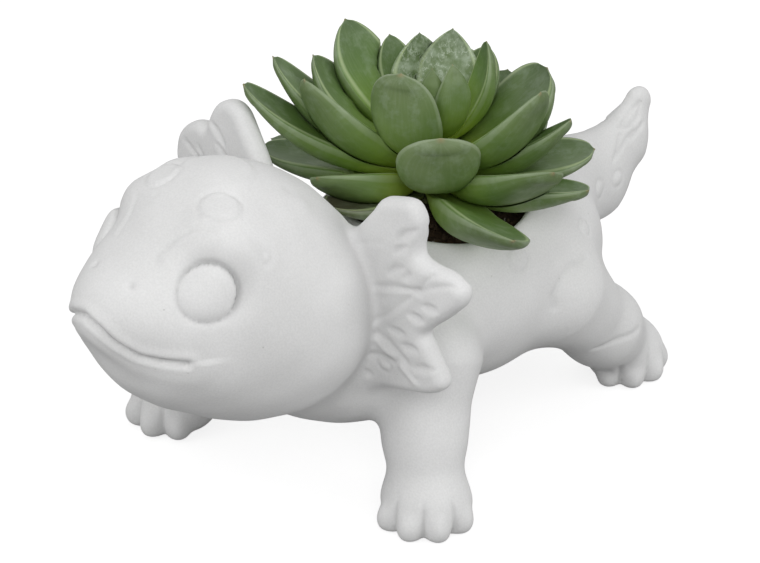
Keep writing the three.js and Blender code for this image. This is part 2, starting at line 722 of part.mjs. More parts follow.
const finish = (color, roughness) => new THREE.MeshStandardMaterial({ color, roughness, metalness: 0 });
const bisque = finish('#e9e9e8', 0.85);
const soil = finish('#3a2b20', 0.95);
const mesh = finish('#4a4c4b', 0.6);
const stemGreen = finish('#5d7a3a', 0.7);
const leafGreen = finish('#4f7a3c', 0.5);
const innerGreen = finish('#8fae7c', 0.55);

function piece(name, geometry, material) {
  const item = new THREE.Mesh(geometry, material);
  item.name = name;
  return item;
}

const planter = new THREE.Group();
planter.add(piece('planter_body', planterBody(), bisque));
planter.add(piece('drain_screen', drainScreen(), mesh));
planter.add(piece('root_ball', rootBall(), soil));
planter.add(piece('plant_stem', plantStem(), stemGreen));
for (const { name, row, body } of rosette()) {
  planter.add(piece(name, geometryOf(body), row === 'inner' ? innerGreen : leafGreen));
}
planter.add(piece('rosette_heart', rosetteHeart(), innerGreen));

const box = new THREE.Box3().setFromObject(planter);
planter.position.set(-(box.min.x + box.max.x) * HALF, -(box.min.y + box.max.y) * HALF, -box.min.z);

export default planter;
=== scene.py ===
"""Looks of the axolotl planter: fine bisque casting, dressed rosette, soil, stage, lights and camera.

Shapes are worked out in millimetres from the pot's axis, as the solids are, and become metres in the
row frame.
"""
import json
import math

import bpy
import numpy as np
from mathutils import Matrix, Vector

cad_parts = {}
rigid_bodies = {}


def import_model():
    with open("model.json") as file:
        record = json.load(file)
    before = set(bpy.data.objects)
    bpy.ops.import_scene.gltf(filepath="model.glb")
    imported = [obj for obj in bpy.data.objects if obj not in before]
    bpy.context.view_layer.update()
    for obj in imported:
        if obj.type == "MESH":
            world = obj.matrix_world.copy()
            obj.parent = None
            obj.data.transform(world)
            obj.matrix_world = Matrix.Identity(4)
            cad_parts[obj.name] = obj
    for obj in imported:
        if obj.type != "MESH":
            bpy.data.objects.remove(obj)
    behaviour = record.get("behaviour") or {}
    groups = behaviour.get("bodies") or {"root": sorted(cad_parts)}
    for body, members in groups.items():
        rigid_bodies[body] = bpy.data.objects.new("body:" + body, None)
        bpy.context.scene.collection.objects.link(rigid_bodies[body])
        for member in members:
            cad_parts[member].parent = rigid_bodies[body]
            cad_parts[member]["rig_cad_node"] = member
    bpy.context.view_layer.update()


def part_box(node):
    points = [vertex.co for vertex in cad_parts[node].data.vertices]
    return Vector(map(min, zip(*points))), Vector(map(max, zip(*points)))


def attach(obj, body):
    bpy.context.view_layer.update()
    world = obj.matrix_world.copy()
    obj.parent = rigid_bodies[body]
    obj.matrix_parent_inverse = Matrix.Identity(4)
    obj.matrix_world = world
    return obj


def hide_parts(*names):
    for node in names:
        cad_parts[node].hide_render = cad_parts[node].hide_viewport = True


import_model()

# The pot's axis in the row frame, in millimetres
root_low, root_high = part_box("root_ball")
AXIS = np.array([(root_low.x + root_high.x) * 500, (root_low.y + root_high.y) * 500, 0.0])

# Trunk
BACK_HEIGHT = 80
BELLY_HEIGHT = 17
TRUNK_WIDTH = 75
TRUNK_LENGTH = 104
TRUNK_SHIFT = 4
RUMP = ((0, 25, 46), (56, 56, 50))
CHEST = ((0, -36, 42), (60, 52, 44))
NECK_FROM_HEAD = (0, 17, -18.5)
NECK_TO_CHEST = (0, -34, 42)
NECK_WIDTH = 46

# Head, in its own frame: the origin is the middle of the cranium and -Y is forward
CRANIUM = ((0, 0, 0), (64, 68, 69))
CHEEKS = ((0, 12, -7.5), (68, 60, 62))
BROWS = ((13.5, -7.5, 17), (26, 27, 26))
JAW = ((0, -12, -6), (52, 52, 42))
MUZZLE = ((0, -19, 4.5), (41, 50, 30))
HEAD_PLACE = np.array([-2.0, -79.0, 71.5])
HEAD_TURN = math.radians(6)

# Widths over which neighbouring forms flow into each other
SOFT = dict(
    cheeks=8, brows=4, jaw=5, muzzle=7, trunk=10, neck=8,
    tail=9, spine=3, leg=6, head=5, gill=3.5, toe=1.6,
)

# Gill fans: their outlines are in the fan's plane, outward and upward from the middle of the cranium
GILL_THICKNESS = 6.4
GILL_ROUNDING = 2.9
GILL_SWEEP = math.radians(4)
GILL_PLANE = 30.5
GILL_ROOT = [(6, -30), (19, -31.5), (38, -26.6)]
GILL_LEFT = GILL_ROOT + [
    (46.8, -23.9), (52, -20.2), (51.3, -16), (47.4, -10.4), (45.2, -6.6), (54.2, 1.8), (58.8, 6.9),
    (58.9, 11.2), (54, 13.7), (44.8, 14.2), (42.4, 16.4), (43.6, 23.5), (42.6, 27.3), (39.3, 29.8),
    (33, 28.3), (28.4, 26.3), (24.8, 21.5), (19, 15), (12, 11), (5, 9),
]
GILL_RIGHT = GILL_ROOT + [
    (47.5, -23), (53, -19.5), (52.3, -12), (48.8, -5.5),
    (56.5, 0), (62.5, 4.5), (61.5, 12), (57, 17), (52, 19.3), (47.3, 19.4), (44.8, 24.5), (41.5, 29),
    (36.5, 31.4), (31.5, 30.5), (27.5, 26.5), (23.5, 21.5), (18.5, 15), (12, 11), (5, 9),
]

# Pot
MOUTH_RADIUS = 27
FLOOR_RADIUS = 22
RIM_FLARE = 6
POT_FLOOR = 25
FLOOR_CORNER = 7
DRAIN_RADIUS = 2.5
DRAIN_CIRCLE = 6
DRAIN_COUNT = 3
DRAIN_ABOVE_FLOOR = 4

# Legs: radii at the hip, knee and ankle, and places of the knee and foot in plan, from the hip.
# The heading of the toes is in degrees from straight ahead.
HIP_HEIGHT = 42
ANKLE_HEIGHT = 9
FOOT_HEIGHT = 16
FOOT_SINK = 1.5
FRONT_LEG = dict(hip=15, knee=10.4, ankle=10, knee_height=24, pad=12.5)
HIND_LEG = dict(hip=14.5, knee=11, ankle=9.5, knee_height=23, pad=11.4)
HIP_SIDE = TRUNK_WIDTH / 2 - 9.5
LEGS = [
    dict(side=1, hip=-31, knee=(5.2, -6.6), foot=(10.3, -11.3), heading=40, shape=FRONT_LEG),
    dict(side=-1, hip=-36, knee=(14.4, -10.6), foot=(22.8, -16.4), heading=12, shape=FRONT_LEG),
    dict(side=1, hip=22, knee=(-0.8, 20.5), foot=(-5, 36.4), heading=78, shape=HIND_LEG),
    dict(side=-1, hip=22, knee=(5, 18), foot=(6, 28), heading=60, shape=HIND_LEG),
]
TOE = (8.2, 12, 11)
TOE_SPREAD = (-62, -21, 21, 62)
TOE_OUT = 4

# Tail spine behind the trunk's end: distance along Y, height, half-height
TRUNK_END = TRUNK_LENGTH / 2 + TRUNK_SHIFT
TAIL_SPINE = [(-6, 53, 17.5), (13, 52.5, 13.8), (25.5, 59, 9.6), (32.5, 69.5, 5)]
TAIL_FLATNESS = 0.66

# Finish of the casting's edges, and the cells and room of its mesh
RIM_ROUNDING = 3
DRAIN_ROUNDING = 1.2
SOLE_ROUNDING = 1.6
CASTING_STEP = 0.7
CASTING_LOW = (-66, -134, -1.5)
CASTING_HIGH = (68, 106, 120)

# Light: the ambient level, what the floor adds where the camera sees it, and lamps in metres and watts
AMBIENT = 0.46
FLOOR_LIFT = 0.8
LAMPS = [
    ("key", (0.7, -0.75, 0.8), (0, 0, 0.05), 0.8, 4.8),
    ("overhead", (0.1, 0.25, 1.3), (0, 0, 0.05), 0.8, 1.7),
    ("side", (1.05, 0.45, 0.55), (0, 0.03, 0.03), 0.8, 3.6),
    ("front", (-0.4, -1.0, 0.6), (0, 0, 0.04), 0.7, 2.8),
]

# Camera, in degrees, millimetres from the pot's axis, and pixels of a picture 760 wide
VIEW_ANGLES = (44, 28)
VIEW_TARGET = (13.8, -35, 62)
VIEW_DISTANCE = 900
VIEW_FOCUS = 3330
PICTURE_WIDTH = 760
SENSOR_WIDTH = 36


def blend(a, b, width):
    """The nearer of two distances, with a soft joint of this width between their forms."""
    near = np.maximum(width - np.abs(a - b), 0) / width
    return np.minimum(a, b) - near * near * width * 0.25


def carve(a, b, width):
    """a without b, with the edge between them rounded."""
    return -blend(-a, b, width)


def ellipsoid(p, centre, size):
    radii = np.array(size) / 2
    q = (p - np.array(centre, float)) / radii
    reach = np.linalg.norm(q, axis=1)
    slope = np.linalg.norm(q / radii, axis=1)
    return reach * (reach - 1) / np.maximum(slope, 1e-6)


def limb(p, start, end, start_radius, end_radius):
    start, end = np.array(start, float), np.array(end, float)
    along = end - start
    share = np.clip((p - start) @ along / (along @ along), 0, 1)
    off = np.linalg.norm(p - start - share[:, None] * along, axis=1)
    return off - (start_radius + (end_radius - start_radius) * share)


def turned_about_z(p, angle):
    c, s = math.cos(angle), math.sin(angle)
    return np.column_stack([p[:, 0] * c - p[:, 1] * s, p[:, 0] * s + p[:, 1] * c, p[:, 2]])


def to_head(p):
    return turned_about_z(p - HEAD_PLACE, HEAD_TURN)


def head_distance(q):
    whole = blend(ellipsoid(q, *CRANIUM), ellipsoid(q, *CHEEKS), SOFT["cheeks"])
    whole = blend(whole, ellipsoid(np.column_stack([np.abs(q[:, 0]), q[:, 1:]]), *BROWS), SOFT["brows"])
    whole = blend(whole, ellipsoid(q, *JAW), SOFT["jaw"])
    return blend(whole, ellipsoid(q, *MUZZLE), SOFT["muzzle"])


def tail_distance(p):
    flat = p / np.array([TAIL_FLATNESS, 1, 1])
    whole = None
    for first, second in zip(TAIL_SPINE, TAIL_SPINE[1:]):
        start = (0, TRUNK_END + first[0], first[1])
        end = (0, TRUNK_END + second[0], second[1])
        length = limb(flat, start, end, first[2], second[2])
        whole = length if whole is None else blend(whole, length, SOFT["spine"])
    return whole * 0.8


def leg_joints(leg):
    def at(offset, height):
        return np.array([leg["side"] * (HIP_SIDE + offset[0]), leg["hip"] + offset[1], height])

    return at((0, 0), HIP_HEIGHT), at(leg["knee"], leg["shape"]["knee_height"]), at(leg["foot"], ANKLE_HEIGHT)


def toe_heading(leg, spread):
    return math.radians(leg["side"] * leg["heading"] + spread)


def leg_distance(p, leg):
    hip, knee, foot = leg_joints(leg)
    shape = leg["shape"]
    pad = shape["pad"]
    whole = blend(limb(p, hip, knee, shape["hip"], shape["knee"]),
                  limb(p, knee, foot, shape["knee"], shape["ankle"]), SOFT["leg"])
    sole = (foot[0], foot[1], FOOT_HEIGHT / 2 - FOOT_SINK)
    whole = blend(whole, ellipsoid(p, sole, (2 * pad, 1.8 * pad, FOOT_HEIGHT)), SOFT["leg"])
    for spread in TOE_SPREAD:
        out = toe_heading(leg, spread)
        way = np.array([math.sin(out), -math.cos(out), 0])
        centre = way * (pad - TOE_OUT) + [foot[0], foot[1], TOE[2] / 2 - FOOT_SINK]
        whole = blend(whole, ellipsoid(turned_about_z(p - centre, -out), (0, 0, 0), TOE), SOFT["toe"])
    return whole


def closed_curve(points, steps):
    """A smooth closed line through points: a cubic between each two, which meets the next without a corner."""
    points = np.array(points, float)
    t = np.linspace(0, 1, steps, endpoint=False)[:, None]
    line = []
    for i in range(len(points)):
        a, b, c, d = (points[(i + k) % len(points)] for k in (-1, 0, 1, 2))
        line.append(0.5 * (2 * b + (c - a) * t + (2 * a - 5 * b + 4 * c - d) * t**2
                           + (3 * b - a - 3 * c + d) * t**3))
    return np.concatenate(line)


def distance_to_line(p, line):
    """Distance from each point to a chain of points, in any number of dimensions."""
    line = np.array(line, float)
    best = np.full(len(p), 1e9)
    for a, b in zip(line, line[1:]):
        along = b - a
        share = np.clip((p - a) @ along / max(along @ along, 1e-9), 0, 1)
        best = np.minimum(best, np.linalg.norm(p - a - share[:, None] * along, axis=1))
    return best


class GillOutline:
    """Signed distance to the fan's outline, looked up on a grid."""
    STEP = 0.5
    LOW = np.array([-8.0, -44.0])
    COUNT = np.array([168, 182])

    def __init__(self, points):
        line = closed_curve(points, 8)
        u, v = np.meshgrid(*(low + self.STEP * np.arange(count) for low, count in zip(self.LOW, self.COUNT)),
                           indexing="ij")
        grid = np.column_stack([u.ravel(), v.ravel()])
        away = distance_to_line(grid, np.vstack([line, line[:1]]))
        inside = np.zeros(len(grid), bool)
        for a, b in zip(line, np.roll(line, -1, axis=0)):
            spans = (a[1] > grid[:, 1]) != (b[1] > grid[:, 1])
            rise = b[1] - a[1] if abs(b[1] - a[1]) > 1e-9 else 1e-9
            inside ^= spans & (grid[:, 0] < (b[0] - a[0]) * (grid[:, 1] - a[1]) / rise + a[0])
        self.values = np.where(inside, -away, away).reshape(self.COUNT)

    def __call__(self, u, v):
        place = (np.column_stack([u, v]) - self.LOW) / self.STEP
        place = np.clip(place, 0, self.COUNT - 1.001)
        cell = place.astype(int)
        share = place - cell
        i, j = cell.T
        s, t = share.T
        g = self.values
        return (g[i, j] * (1 - s) * (1 - t) + g[i + 1, j] * s * (1 - t)
                + g[i, j + 1] * (1 - s) * t + g[i + 1, j + 1] * s * t)


gill_outlines = {1: GillOutline(GILL_LEFT), -1: GillOutline(GILL_RIGHT)}


def gill_coordinates(q, side):
    """Outward, upward and rearward of the fan's middle plane, from points in the head's frame."""
    r = turned_about_z(q - np.array([0, GILL_PLANE, 0]), -side * GILL_SWEEP)
    return side * r[:, 0], r[:, 2], r[:, 1]


def gill_distance(q, side):
    u, v, w = gill_coordinates(q, side)
    across = gill_outlines[side](u, v) + GILL_ROUNDING
    deep = np.abs(w) - GILL_THICKNESS / 2 + GILL_ROUNDING
    outside = np.hypot(np.maximum(across, 0), np.maximum(deep, 0))
    return outside + np.minimum(np.maximum(across, deep), 0) - GILL_ROUNDING


class PotProfile:
    """The hollow's profile as a smooth chain of (radius, height), and its signed distance."""

    def __init__(self):
        middle = (BACK_HEIGHT + BELLY_HEIGHT) / 2
        half = (BACK_HEIGHT - BELLY_HEIGHT) / 2
        self.rim = middle + half * math.sqrt(1 - (2 * MOUTH_RADIUS / TRUNK_WIDTH) ** 2)
        turns = np.linspace(0, math.pi / 2, 7)
        corner = [(FLOOR_RADIUS - FLOOR_CORNER * (1 - math.sin(t)),
                   POT_FLOOR + FLOOR_CORNER * (1 - math.cos(t))) for t in turns]
        flare = [(MOUTH_RADIUS + RIM_FLARE * (1 - math.cos(t)),
                  self.rim + (BACK_HEIGHT - self.rim) * math.sin(t)) for t in turns]
        above = (MOUTH_RADIUS + RIM_FLARE, 2 * BACK_HEIGHT)
        self.line = np.array([(0, POT_FLOOR), *corner, *flare, above])

    def __call__(self, p):
        flat = np.column_stack([np.hypot(p[:, 0], p[:, 1]), p[:, 2]])
        away = distance_to_line(flat, self.line)
        wall = np.interp(flat[:, 1], self.line[1:, 1], self.line[1:, 0])
        inside = (flat[:, 0] < wall) & (flat[:, 1] > POT_FLOOR)
        return np.where(inside, -away, away)


pot_profile = PotProfile()


def body_distance(p):
    trunk_middle = (0, TRUNK_SHIFT, (BACK_HEIGHT + BELLY_HEIGHT) / 2)
    whole = ellipsoid(p, trunk_middle, (TRUNK_WIDTH, TRUNK_LENGTH, BACK_HEIGHT - BELLY_HEIGHT))
    whole = blend(whole, ellipsoid(p, *RUMP), SOFT["trunk"])
    neck = limb(p, HEAD_PLACE + np.array(NECK_FROM_HEAD), NECK_TO_CHEST, NECK_WIDTH / 2, NECK_WIDTH / 2)
    whole = blend(whole, neck, SOFT["neck"])
    whole = blend(whole, ellipsoid(p, *CHEST), SOFT["trunk"])
    whole = blend(whole, tail_distance(p), SOFT["tail"])
    for leg in LEGS:
        whole = blend(whole, leg_distance(p, leg), SOFT["leg"])
    q = to_head(p)
    head = head_distance(q)
    for side in (1, -1):
        head = blend(head, gill_distance(q, side), SOFT["gill"])
    return blend(whole, head, SOFT["head"])


def casting_distance(p):
    whole = carve(body_distance(p), pot_profile(p), RIM_ROUNDING)
    for i in range(DRAIN_COUNT):
        angle = 2 * math.pi * i / DRAIN_COUNT
        x, y = DRAIN_CIRCLE * math.sin(angle), DRAIN_CIRCLE * math.cos(angle)
        hole = np.hypot(p[:, 0] - x, p[:, 1] - y) - DRAIN_RADIUS
        whole = carve(whole, np.maximum(hole, p[:, 2] - POT_FLOOR - DRAIN_ABOVE_FLOOR), DRAIN_ROUNDING)
    return carve(whole, p[:, 2], SOLE_ROUNDING)


def slope_of(distance, p, small=0.05):
    """Distance at the points and its slope there."""
    here = distance(p)
    ahead = [distance(p + np.eye(3)[axis] * small) for axis in range(3)]
    return here, np.column_stack([(value - here) / small for value in ahead])


def onto_surface(distance, p, passes=2, longest=1.5):
    """Points moved along the slope onto the zero surface, by no more than the longest move in a pass."""
    for _ in range(passes):
        here, slope = slope_of(distance, p)
        square = np.maximum((slope**2).sum(1), 0.2)
        p = p - slope * np.clip(here / square, -longest, longest)[:, None]
    return p


def finer(values, times):
    """A grid of values, made finer by linear steps along its three axes."""
    for axis in range(3):
        values = np.moveaxis(values, axis, 0)
        share = np.arange(times)[:, None, None, None] / times
        between = values[None, :-1] * (1 - share) + values[None, 1:] * share
        between = np.swapaxes(between, 0, 1).reshape(-1, *values.shape[1:])
        values = np.concatenate([between, values[-1:]])
        values = np.moveaxis(values, 0, axis)
    return values


def surface_net(distance, low, high, step, times=3):
    """Vertices and quads of the zero surface: one vertex in each grid cell that it crosses.

    The distance is taken on a grid that is coarser by times, and again on the fine one near the surface.
    """
    low, high = np.array(low, float), np.array(high, float)
    coarse = np.ceil((high - low) / (step * times)).astype(int) + 1
    lines = [low[i] + step * times * np.arange(coarse[i]) for i in range(3)]
    places = np.stack(np.meshgrid(*lines, indexing="ij"), -1).reshape(-1, 3)
    values = finer(distance(places).reshape(coarse), times).astype(np.float32)
    near = np.argwhere(np.abs(values) < 1.6 * step)
    values[tuple(near.T)] = distance(low + step * near)

    inside = values < 0
    size = np.array(values.shape)
    corners = [tuple(slice(d, size[a] - 1 + d) for a, d in enumerate(c)) for c in np.ndindex(2, 2, 2)]
    filled = sum(inside[c].astype(np.uint8) for c in corners)
    cells = np.argwhere((filled > 0) & (filled < 8))
    number = np.full(size, -1, np.int64)
    number[tuple(cells.T)] = np.arange(len(cells))

    total = np.zeros((len(cells), 3))
    crossings = np.zeros(len(cells))
    for axis in range(3):
        others = [a for a in range(3) if a != axis]
        for side in np.ndindex(2, 2):
            start = cells.copy()
            start[:, others[0]] += side[0]
            start[:, others[1]] += side[1]
            end = start.copy()
            end[:, axis] += 1
            a, b = values[tuple(start.T)], values[tuple(end.T)]
            cut = (a < 0) != (b < 0)
            share = np.where(cut, a / np.where(cut, a - b, 1), 0)
            point = (start - cells).astype(float)
            point[:, axis] += share
            total += point * cut[:, None]
            crossings += cut
    vertices = low + step * (cells + total / crossings[:, None])

    quads = []
    for axis in range(3):
        u, v = (axis + 1) % 3, (axis + 2) % 3
        step_to = np.eye(3, dtype=int)
        first = [slice(1, size[a] - 1) for a in range(3)]
        ahead = list(first)
        ahead[axis] = slice(2, size[axis])
        a, b = inside[tuple(first)], inside[tuple(ahead)]
        for start, flip in ((a & ~b, False), (b & ~a, True)):
            at = np.argwhere(start) + 1
            ring = [at, at - step_to[u], at - step_to[u] - step_to[v], at - step_to[v]]
            ring = [number[tuple(place.T)] for place in ring]
            quads.append(np.column_stack(ring[::-1] if flip else ring))
    return onto_surface(distance, vertices), np.concatenate(quads)


# Relief of the casting. Depths and heights are in millimetres, lines and places in the frame that each names.

# Head's frame, left half; the right half mirrors it
EYE_ON_HEAD = onto_surface(head_distance, np.array([[23.1, -21.8, 14.5]]), passes=6)[0]
EYE_DOME_RADIUS = 7.65
EYE_DOME_HEIGHT = 2.9
EYE_DOME_SINK = 1.3
SOCKET_DEPTH = 2.7
BROW_WAY = np.array([0.4, 0.5, 0.77])
MOUTH = [(-6, -43, 5.3), (0, -43.9, 7.0), (5.7, -43.0, 5.1), (9.8, -40.5, 1.3), (13.7, -36.6, -1.9),
         (17.3, -33.0, -3.1), (21.9, -27.5, -3.9)]
MOUTH_DEPTH = 1.7
# Rolls along the mouth: how far above its line, height and width
LIPS = [(2.0, 0.5, 1.3), (-4.2, 0.9, 4.2), (-1.8, 0.25, 1.1)]
NOSTRIL = (8.0, -34.4, 15.4)
FOREHEAD_DIMPLE = (5.9, -15.8, 30.0)
BROW = [(10.4, -25.7, 20.7), (11.3, -21.1, 24.1), (13.5, -16.3, 26.5), (16.3, -12.0, 27.1),
        (19.9, -8.5, 25.6), (25.4, -5.1, 20.4)]
# The brow stands out more on the animal's left than on its right
BROW_LEFT = 1.25
BROW_RIGHT = 0.5
HEAD_TOP = 20
RING = np.array([12.0, -8.8, 30.9])
RING_LONG = np.array([0.645, 0.763, 0]) / 5.6
RING_SHORT = np.array([0.763, -0.645, 0]) / 4.6
CROWN_MOUND = (-0.5, -1.5)
CROWN_MOUND_RADIUS = 11.5
# Swellings and dents on one side of the head: place, height and width
LOBES = [((-18.2, 0.7, 31.2), 1.5, 6.5), ((-20.8, -5.9, 27.7), -1.2, 2.6), ((-23.4, -15.5, 21.0), -0.5, 2.5),
         ((16.5, 14.7, 25.8), 0.5, 3.2), ((11.8, 13.2, 28.6), -0.3, 2.0)]

# The gill fan's plane, outward and upward. Each line has its height, negative for a groove, and its width.
GILL_RELIEF_START = 18
GILL_LINES = [
    (-0.22, 0.7, [(20.3, 11.5), (30.7, 15.3)]),
    (-0.22, 0.8, [(30.2, 12.1), (28.7, 7.3), (26.7, 2.8), (23.3, -0.3)]),
    (-0.75, 0.75, [(28.7, 2.0), (35.0, 4.2), (39.7, 5.3), (43.9, 6.3)]),
    (-0.6, 0.8, [(44.9, 6.6), (48.8, 9.0), (53.0, 11.2), (56.0, 12.2)]),
    (-0.55, 0.75, [(26.0, -10.3), (31.7, -5.4), (37.7, 0.4), (41.7, 4.2), (44.3, 7.1), (46.9, 10.2),
                   (49.3, 12.8)]),
    (-0.85, 0.85, [(18.7, -22.3), (24.9, -19.3), (29.7, -18.4), (36.4, -17.7)]),
    (-0.45, 0.7, [(28.4, -11.4), (33.1, -12.9), (37.1, -15.0), (40.5, -16.6)]),
    (0.4, 0.8, [(27.0, -11.2), (33.4, -6.4), (40.0, -0.2), (44.2, 4.3)]),
    (0.6, 0.9, [(25.3, -12.0), (27.7, -13.4), (31.7, -15.8), (36.4, -17.9), (40.5, -19.8),
                (43.8, -21.5)]),
    (0.35, 0.8, [(23.3, -1.4), (31.7, 1.4), (39.0, 3.6), (43.6, 4.9)]),
]
# The two ends of each leaf-shaped cut; the steep side is on the left of the way from the first to the second
GILL_CUTS = [
    ((35.0, 18.6), (42.6, 24.3)), ((34.2, 14.5), (39.7, 18.3)), ((31.6, 7.8), (39.0, 12.2)),
    ((38.3, 8.1), (41.3, 10.8)), ((45.3, 2.9), (51.3, 3.9)), ((40.5, -1.3), (46.2, -1.3)),
    ((33.4, -8.4), (39.2, -7.8)), ((38.1, -11.6), (43.9, -10.7)), ((41.8, -16.5), (49.6, -14.1)),
    ((21.8, -23.0), (27.4, -25.0)),
]
GILL_CUT_WIDTH = 1.5
GILL_CUT_DEPTH = 0.7
GILL_OVALS = [((31.6, -20.9), 2.4, 1.5), ((43.8, -19.1), 1.0, 0.8)]

# The whole animal's frame, both sides alike
FIN_LINES = [
    [(4.5, 75.7, 65.1), (6.3, 72.8, 62.8), (8.0, 69.2, 60.1)],
    [(5.4, 81.0, 64.9), (5.9, 77.0, 63.2), (7.4, 71.6, 61.0)],
    [(4.9, 85.7, 65.4), (5.6, 82.6, 64.4), (6.0, 79.5, 63.0)],
]
TAIL_OVAL = [(2.9, 76.6, 66.9), (2.3, 81.7, 69.5), (2.8, 86.5, 71.3), (4.0, 84.3, 67.9),
             (4.6, 79.2, 65.9), (2.9, 76.6, 66.9)]
SPOTS = [((33.0, -0.6, 63.2), 3.5), ((29.7, 31.3, 59.8), 2.6), ((11.0, 60.3, 54.7), 2.7),
         ((9.4, 69.6, 54.3), 2.3)]
HIP_CREASE = [(36.2, 24.4, 54.9), (36.5, 17.2, 55.3), (37.2, 12.3, 53.0), (37.8, 9.3, 49.4),
              (38.2, 9.4, 46.3)]
ANKLE_CREASE = [(36.7, 28.6, 24.5), (39.4, 35.0, 25.8), (39.8, 41.6, 25.3), (39.3, 44.8, 25.5)]


def bell(away, width):
    return np.exp(-(away / width) ** 2)


def fade(value, low, high):
    """0 up to low, 1 from high on, and straight between them."""
    return np.clip((value - low) / (high - low), 0, 1)


def distance_from(p, place):
    return np.linalg.norm(p - np.array(place), axis=1)


def mirrored(p):
    """The points with those of the right half brought over to the left."""
    return p * np.where(p[:, :1] < 0, [-1, 1, 1], [1, 1, 1])


def near_line(p, line, reach, shape):
    """shape(distance, rows) for the points within reach of a line, and 0 for the others."""
    line = np.array(line, float)
    rows = np.flatnonzero(((p > line.min(0) - reach) & (p < line.max(0) + reach)).all(1))
    value = np.zeros(len(p))
    if len(rows):
        value[rows] = shape(distance_to_line(p[rows], line), rows)
    return value


def ridge(p, line, height, width):
    """A ridge along a line, or a groove where the height is negative."""
    return near_line(p, line, 4.5 * width, lambda away, _: height * bell(away, width))


def eye_relief(q):
    """A low dome in a socket whose upper edge hangs over it."""
    from_eye = q - EYE_ON_HEAD
    away = np.linalg.norm(from_eye, axis=1)
    above = np.clip((from_eye @ BROW_WAY) / np.maximum(away, 1e-6) * 0.8 + 0.35, 0, 1)
    round_up = np.sqrt(np.clip(1 - (away / EYE_DOME_RADIUS) ** 2, 0, 1))
    dome = EYE_DOME_HEIGHT * round_up - EYE_DOME_SINK
    past = np.maximum(away - EYE_DOME_RADIUS, 0)
    edge = 0.65 * bell(past, 0.6 + 0.45 * above) + 0.35 * bell(past, 1.6 + 4.0 * above)
    socket = np.maximum(-(0.7 + 2.3 * above) * edge, -SOCKET_DEPTH)
    return np.where(away < EYE_DOME_RADIUS, dome, socket)


def mouth_relief(q):
    """The cut of the mouth with a lip above it and a broad one below, which has a crease of its own."""
    line = np.array(MOUTH, float)
    height = np.interp(q[:, 0], line[:, 0], line[:, 2])

    def shape(away, rows):
        above = np.where(q[rows, 2] > height[rows], away, -away)
        creased = fade(q[rows, 0], 0, 6) * fade(q[rows, 0], 17, 9)
        lips = sum(high * bell(above - place, width) for place, high, width in LIPS)
        return lips - MOUTH_DEPTH * bell(away, 0.75) - 0.14 * creased * bell(above + 2.9, 0.6)

    return near_line(q, MOUTH, 13, shape)


def head_relief(p):
    own = to_head(p)
    q = mirrored(own)
    relief = eye_relief(q) + mouth_relief(q)
    relief -= 0.9 * bell(distance_from(q, NOSTRIL), 1.1)
    relief -= 0.25 * bell(distance_from(q, FOREHEAD_DIMPLE), 0.9)
    from_eye = distance_from(q, EYE_ON_HEAD)
    brow_reach = distance_from(np.array(BROW), EYE_ON_HEAD).mean()

    def brow(away, rows):
        return 0.45 * bell(away, 1.1) - 0.3 * bell(away - 1.8, 0.9) * (from_eye[rows] > brow_reach)

    relief += np.where(own[:, 0] > 0, BROW_LEFT, BROW_RIGHT) * near_line(q, BROW, 5, brow)
    ring = np.hypot((q - RING) @ RING_LONG, (q - RING) @ RING_SHORT)
    ring = 0.35 * np.clip((1 - ring) * 6, 0, 1) - 0.45 * bell((ring - 1.03) * 4.8, 0.5)
    for place, height, width in LOBES:
        relief += height * bell(distance_from(own, place), width)
    mound = fade(distance_from(own[:, :2], CROWN_MOUND), CROWN_MOUND_RADIUS, CROWN_MOUND_RADIUS - 1.5)
    return relief + (own[:, 2] > HEAD_TOP) * (ring + 0.75 * mound * fade(own[:, 1], -11, -2))


def gill_cut(flat, start, end):
    """A short leaf-shaped cut: steep on one side, easing out on the other."""
    length = np.hypot(*np.subtract(end, start))
    way = np.subtract(end, start) / length
    from_centre = flat - np.add(start, end) / 2
    along = from_centre @ way
    up = from_centre @ np.array([-way[1], way[0]]) + 0.05 * along**2
    leaf = np.sqrt(np.clip(1 - (along / (length / 2 + 0.5)) ** 2, 0, 1))
    width = np.maximum(GILL_CUT_WIDTH * leaf, 0.05)
    cut = bell(up, np.where(up > 0, 0.35, 1) * width) * width / GILL_CUT_WIDTH
    return (width > 0.05) * (0.22 * bell(up + 1.9 * width, 0.8 * width) - GILL_CUT_DEPTH * cut)


def gill_relief(p):
    relief = np.zeros(len(p))
    for side in (1, -1):
        u, v, w = gill_coordinates(to_head(p), side)
        rows = np.flatnonzero((np.abs(w) < GILL_THICKNESS / 2 + 1) & (u > GILL_RELIEF_START))
        flat = np.column_stack([u, v])[rows]
        value = sum(ridge(flat, line, height, width) for height, width, line in GILL_LINES)
        value += sum(gill_cut(flat, start, end) for start, end in GILL_CUTS)
        for centre, long, short in GILL_OVALS:
            away = np.hypot((flat[:, 0] - centre[0]) / long, (flat[:, 1] - centre[1]) / short)
            value += 0.3 * (1 - np.clip(away, 0, 1) ** 2) - 0.4 * bell((away - 1) * 2, 0.7)
        relief[rows] += value * fade(np.abs(w[rows]), 1.2, 2.6)
    return relief


def skin_relief(p):
    m = mirrored(p)
    relief = ridge(m, HIP_CREASE, -0.5, 1.4) + ridge(m, ANKLE_CREASE, -0.45, 0.9)
    for centre, radius in SPOTS:
        away = distance_from(m, centre)
        relief += 0.45 * (1 - np.clip(away / radius, 0, 1) ** 2) - 0.3 * bell(away - radius * 1.05, 0.55)
    return relief + sum(ridge(m, line, -0.55, 0.65) for line in FIN_LINES + [TAIL_OVAL])


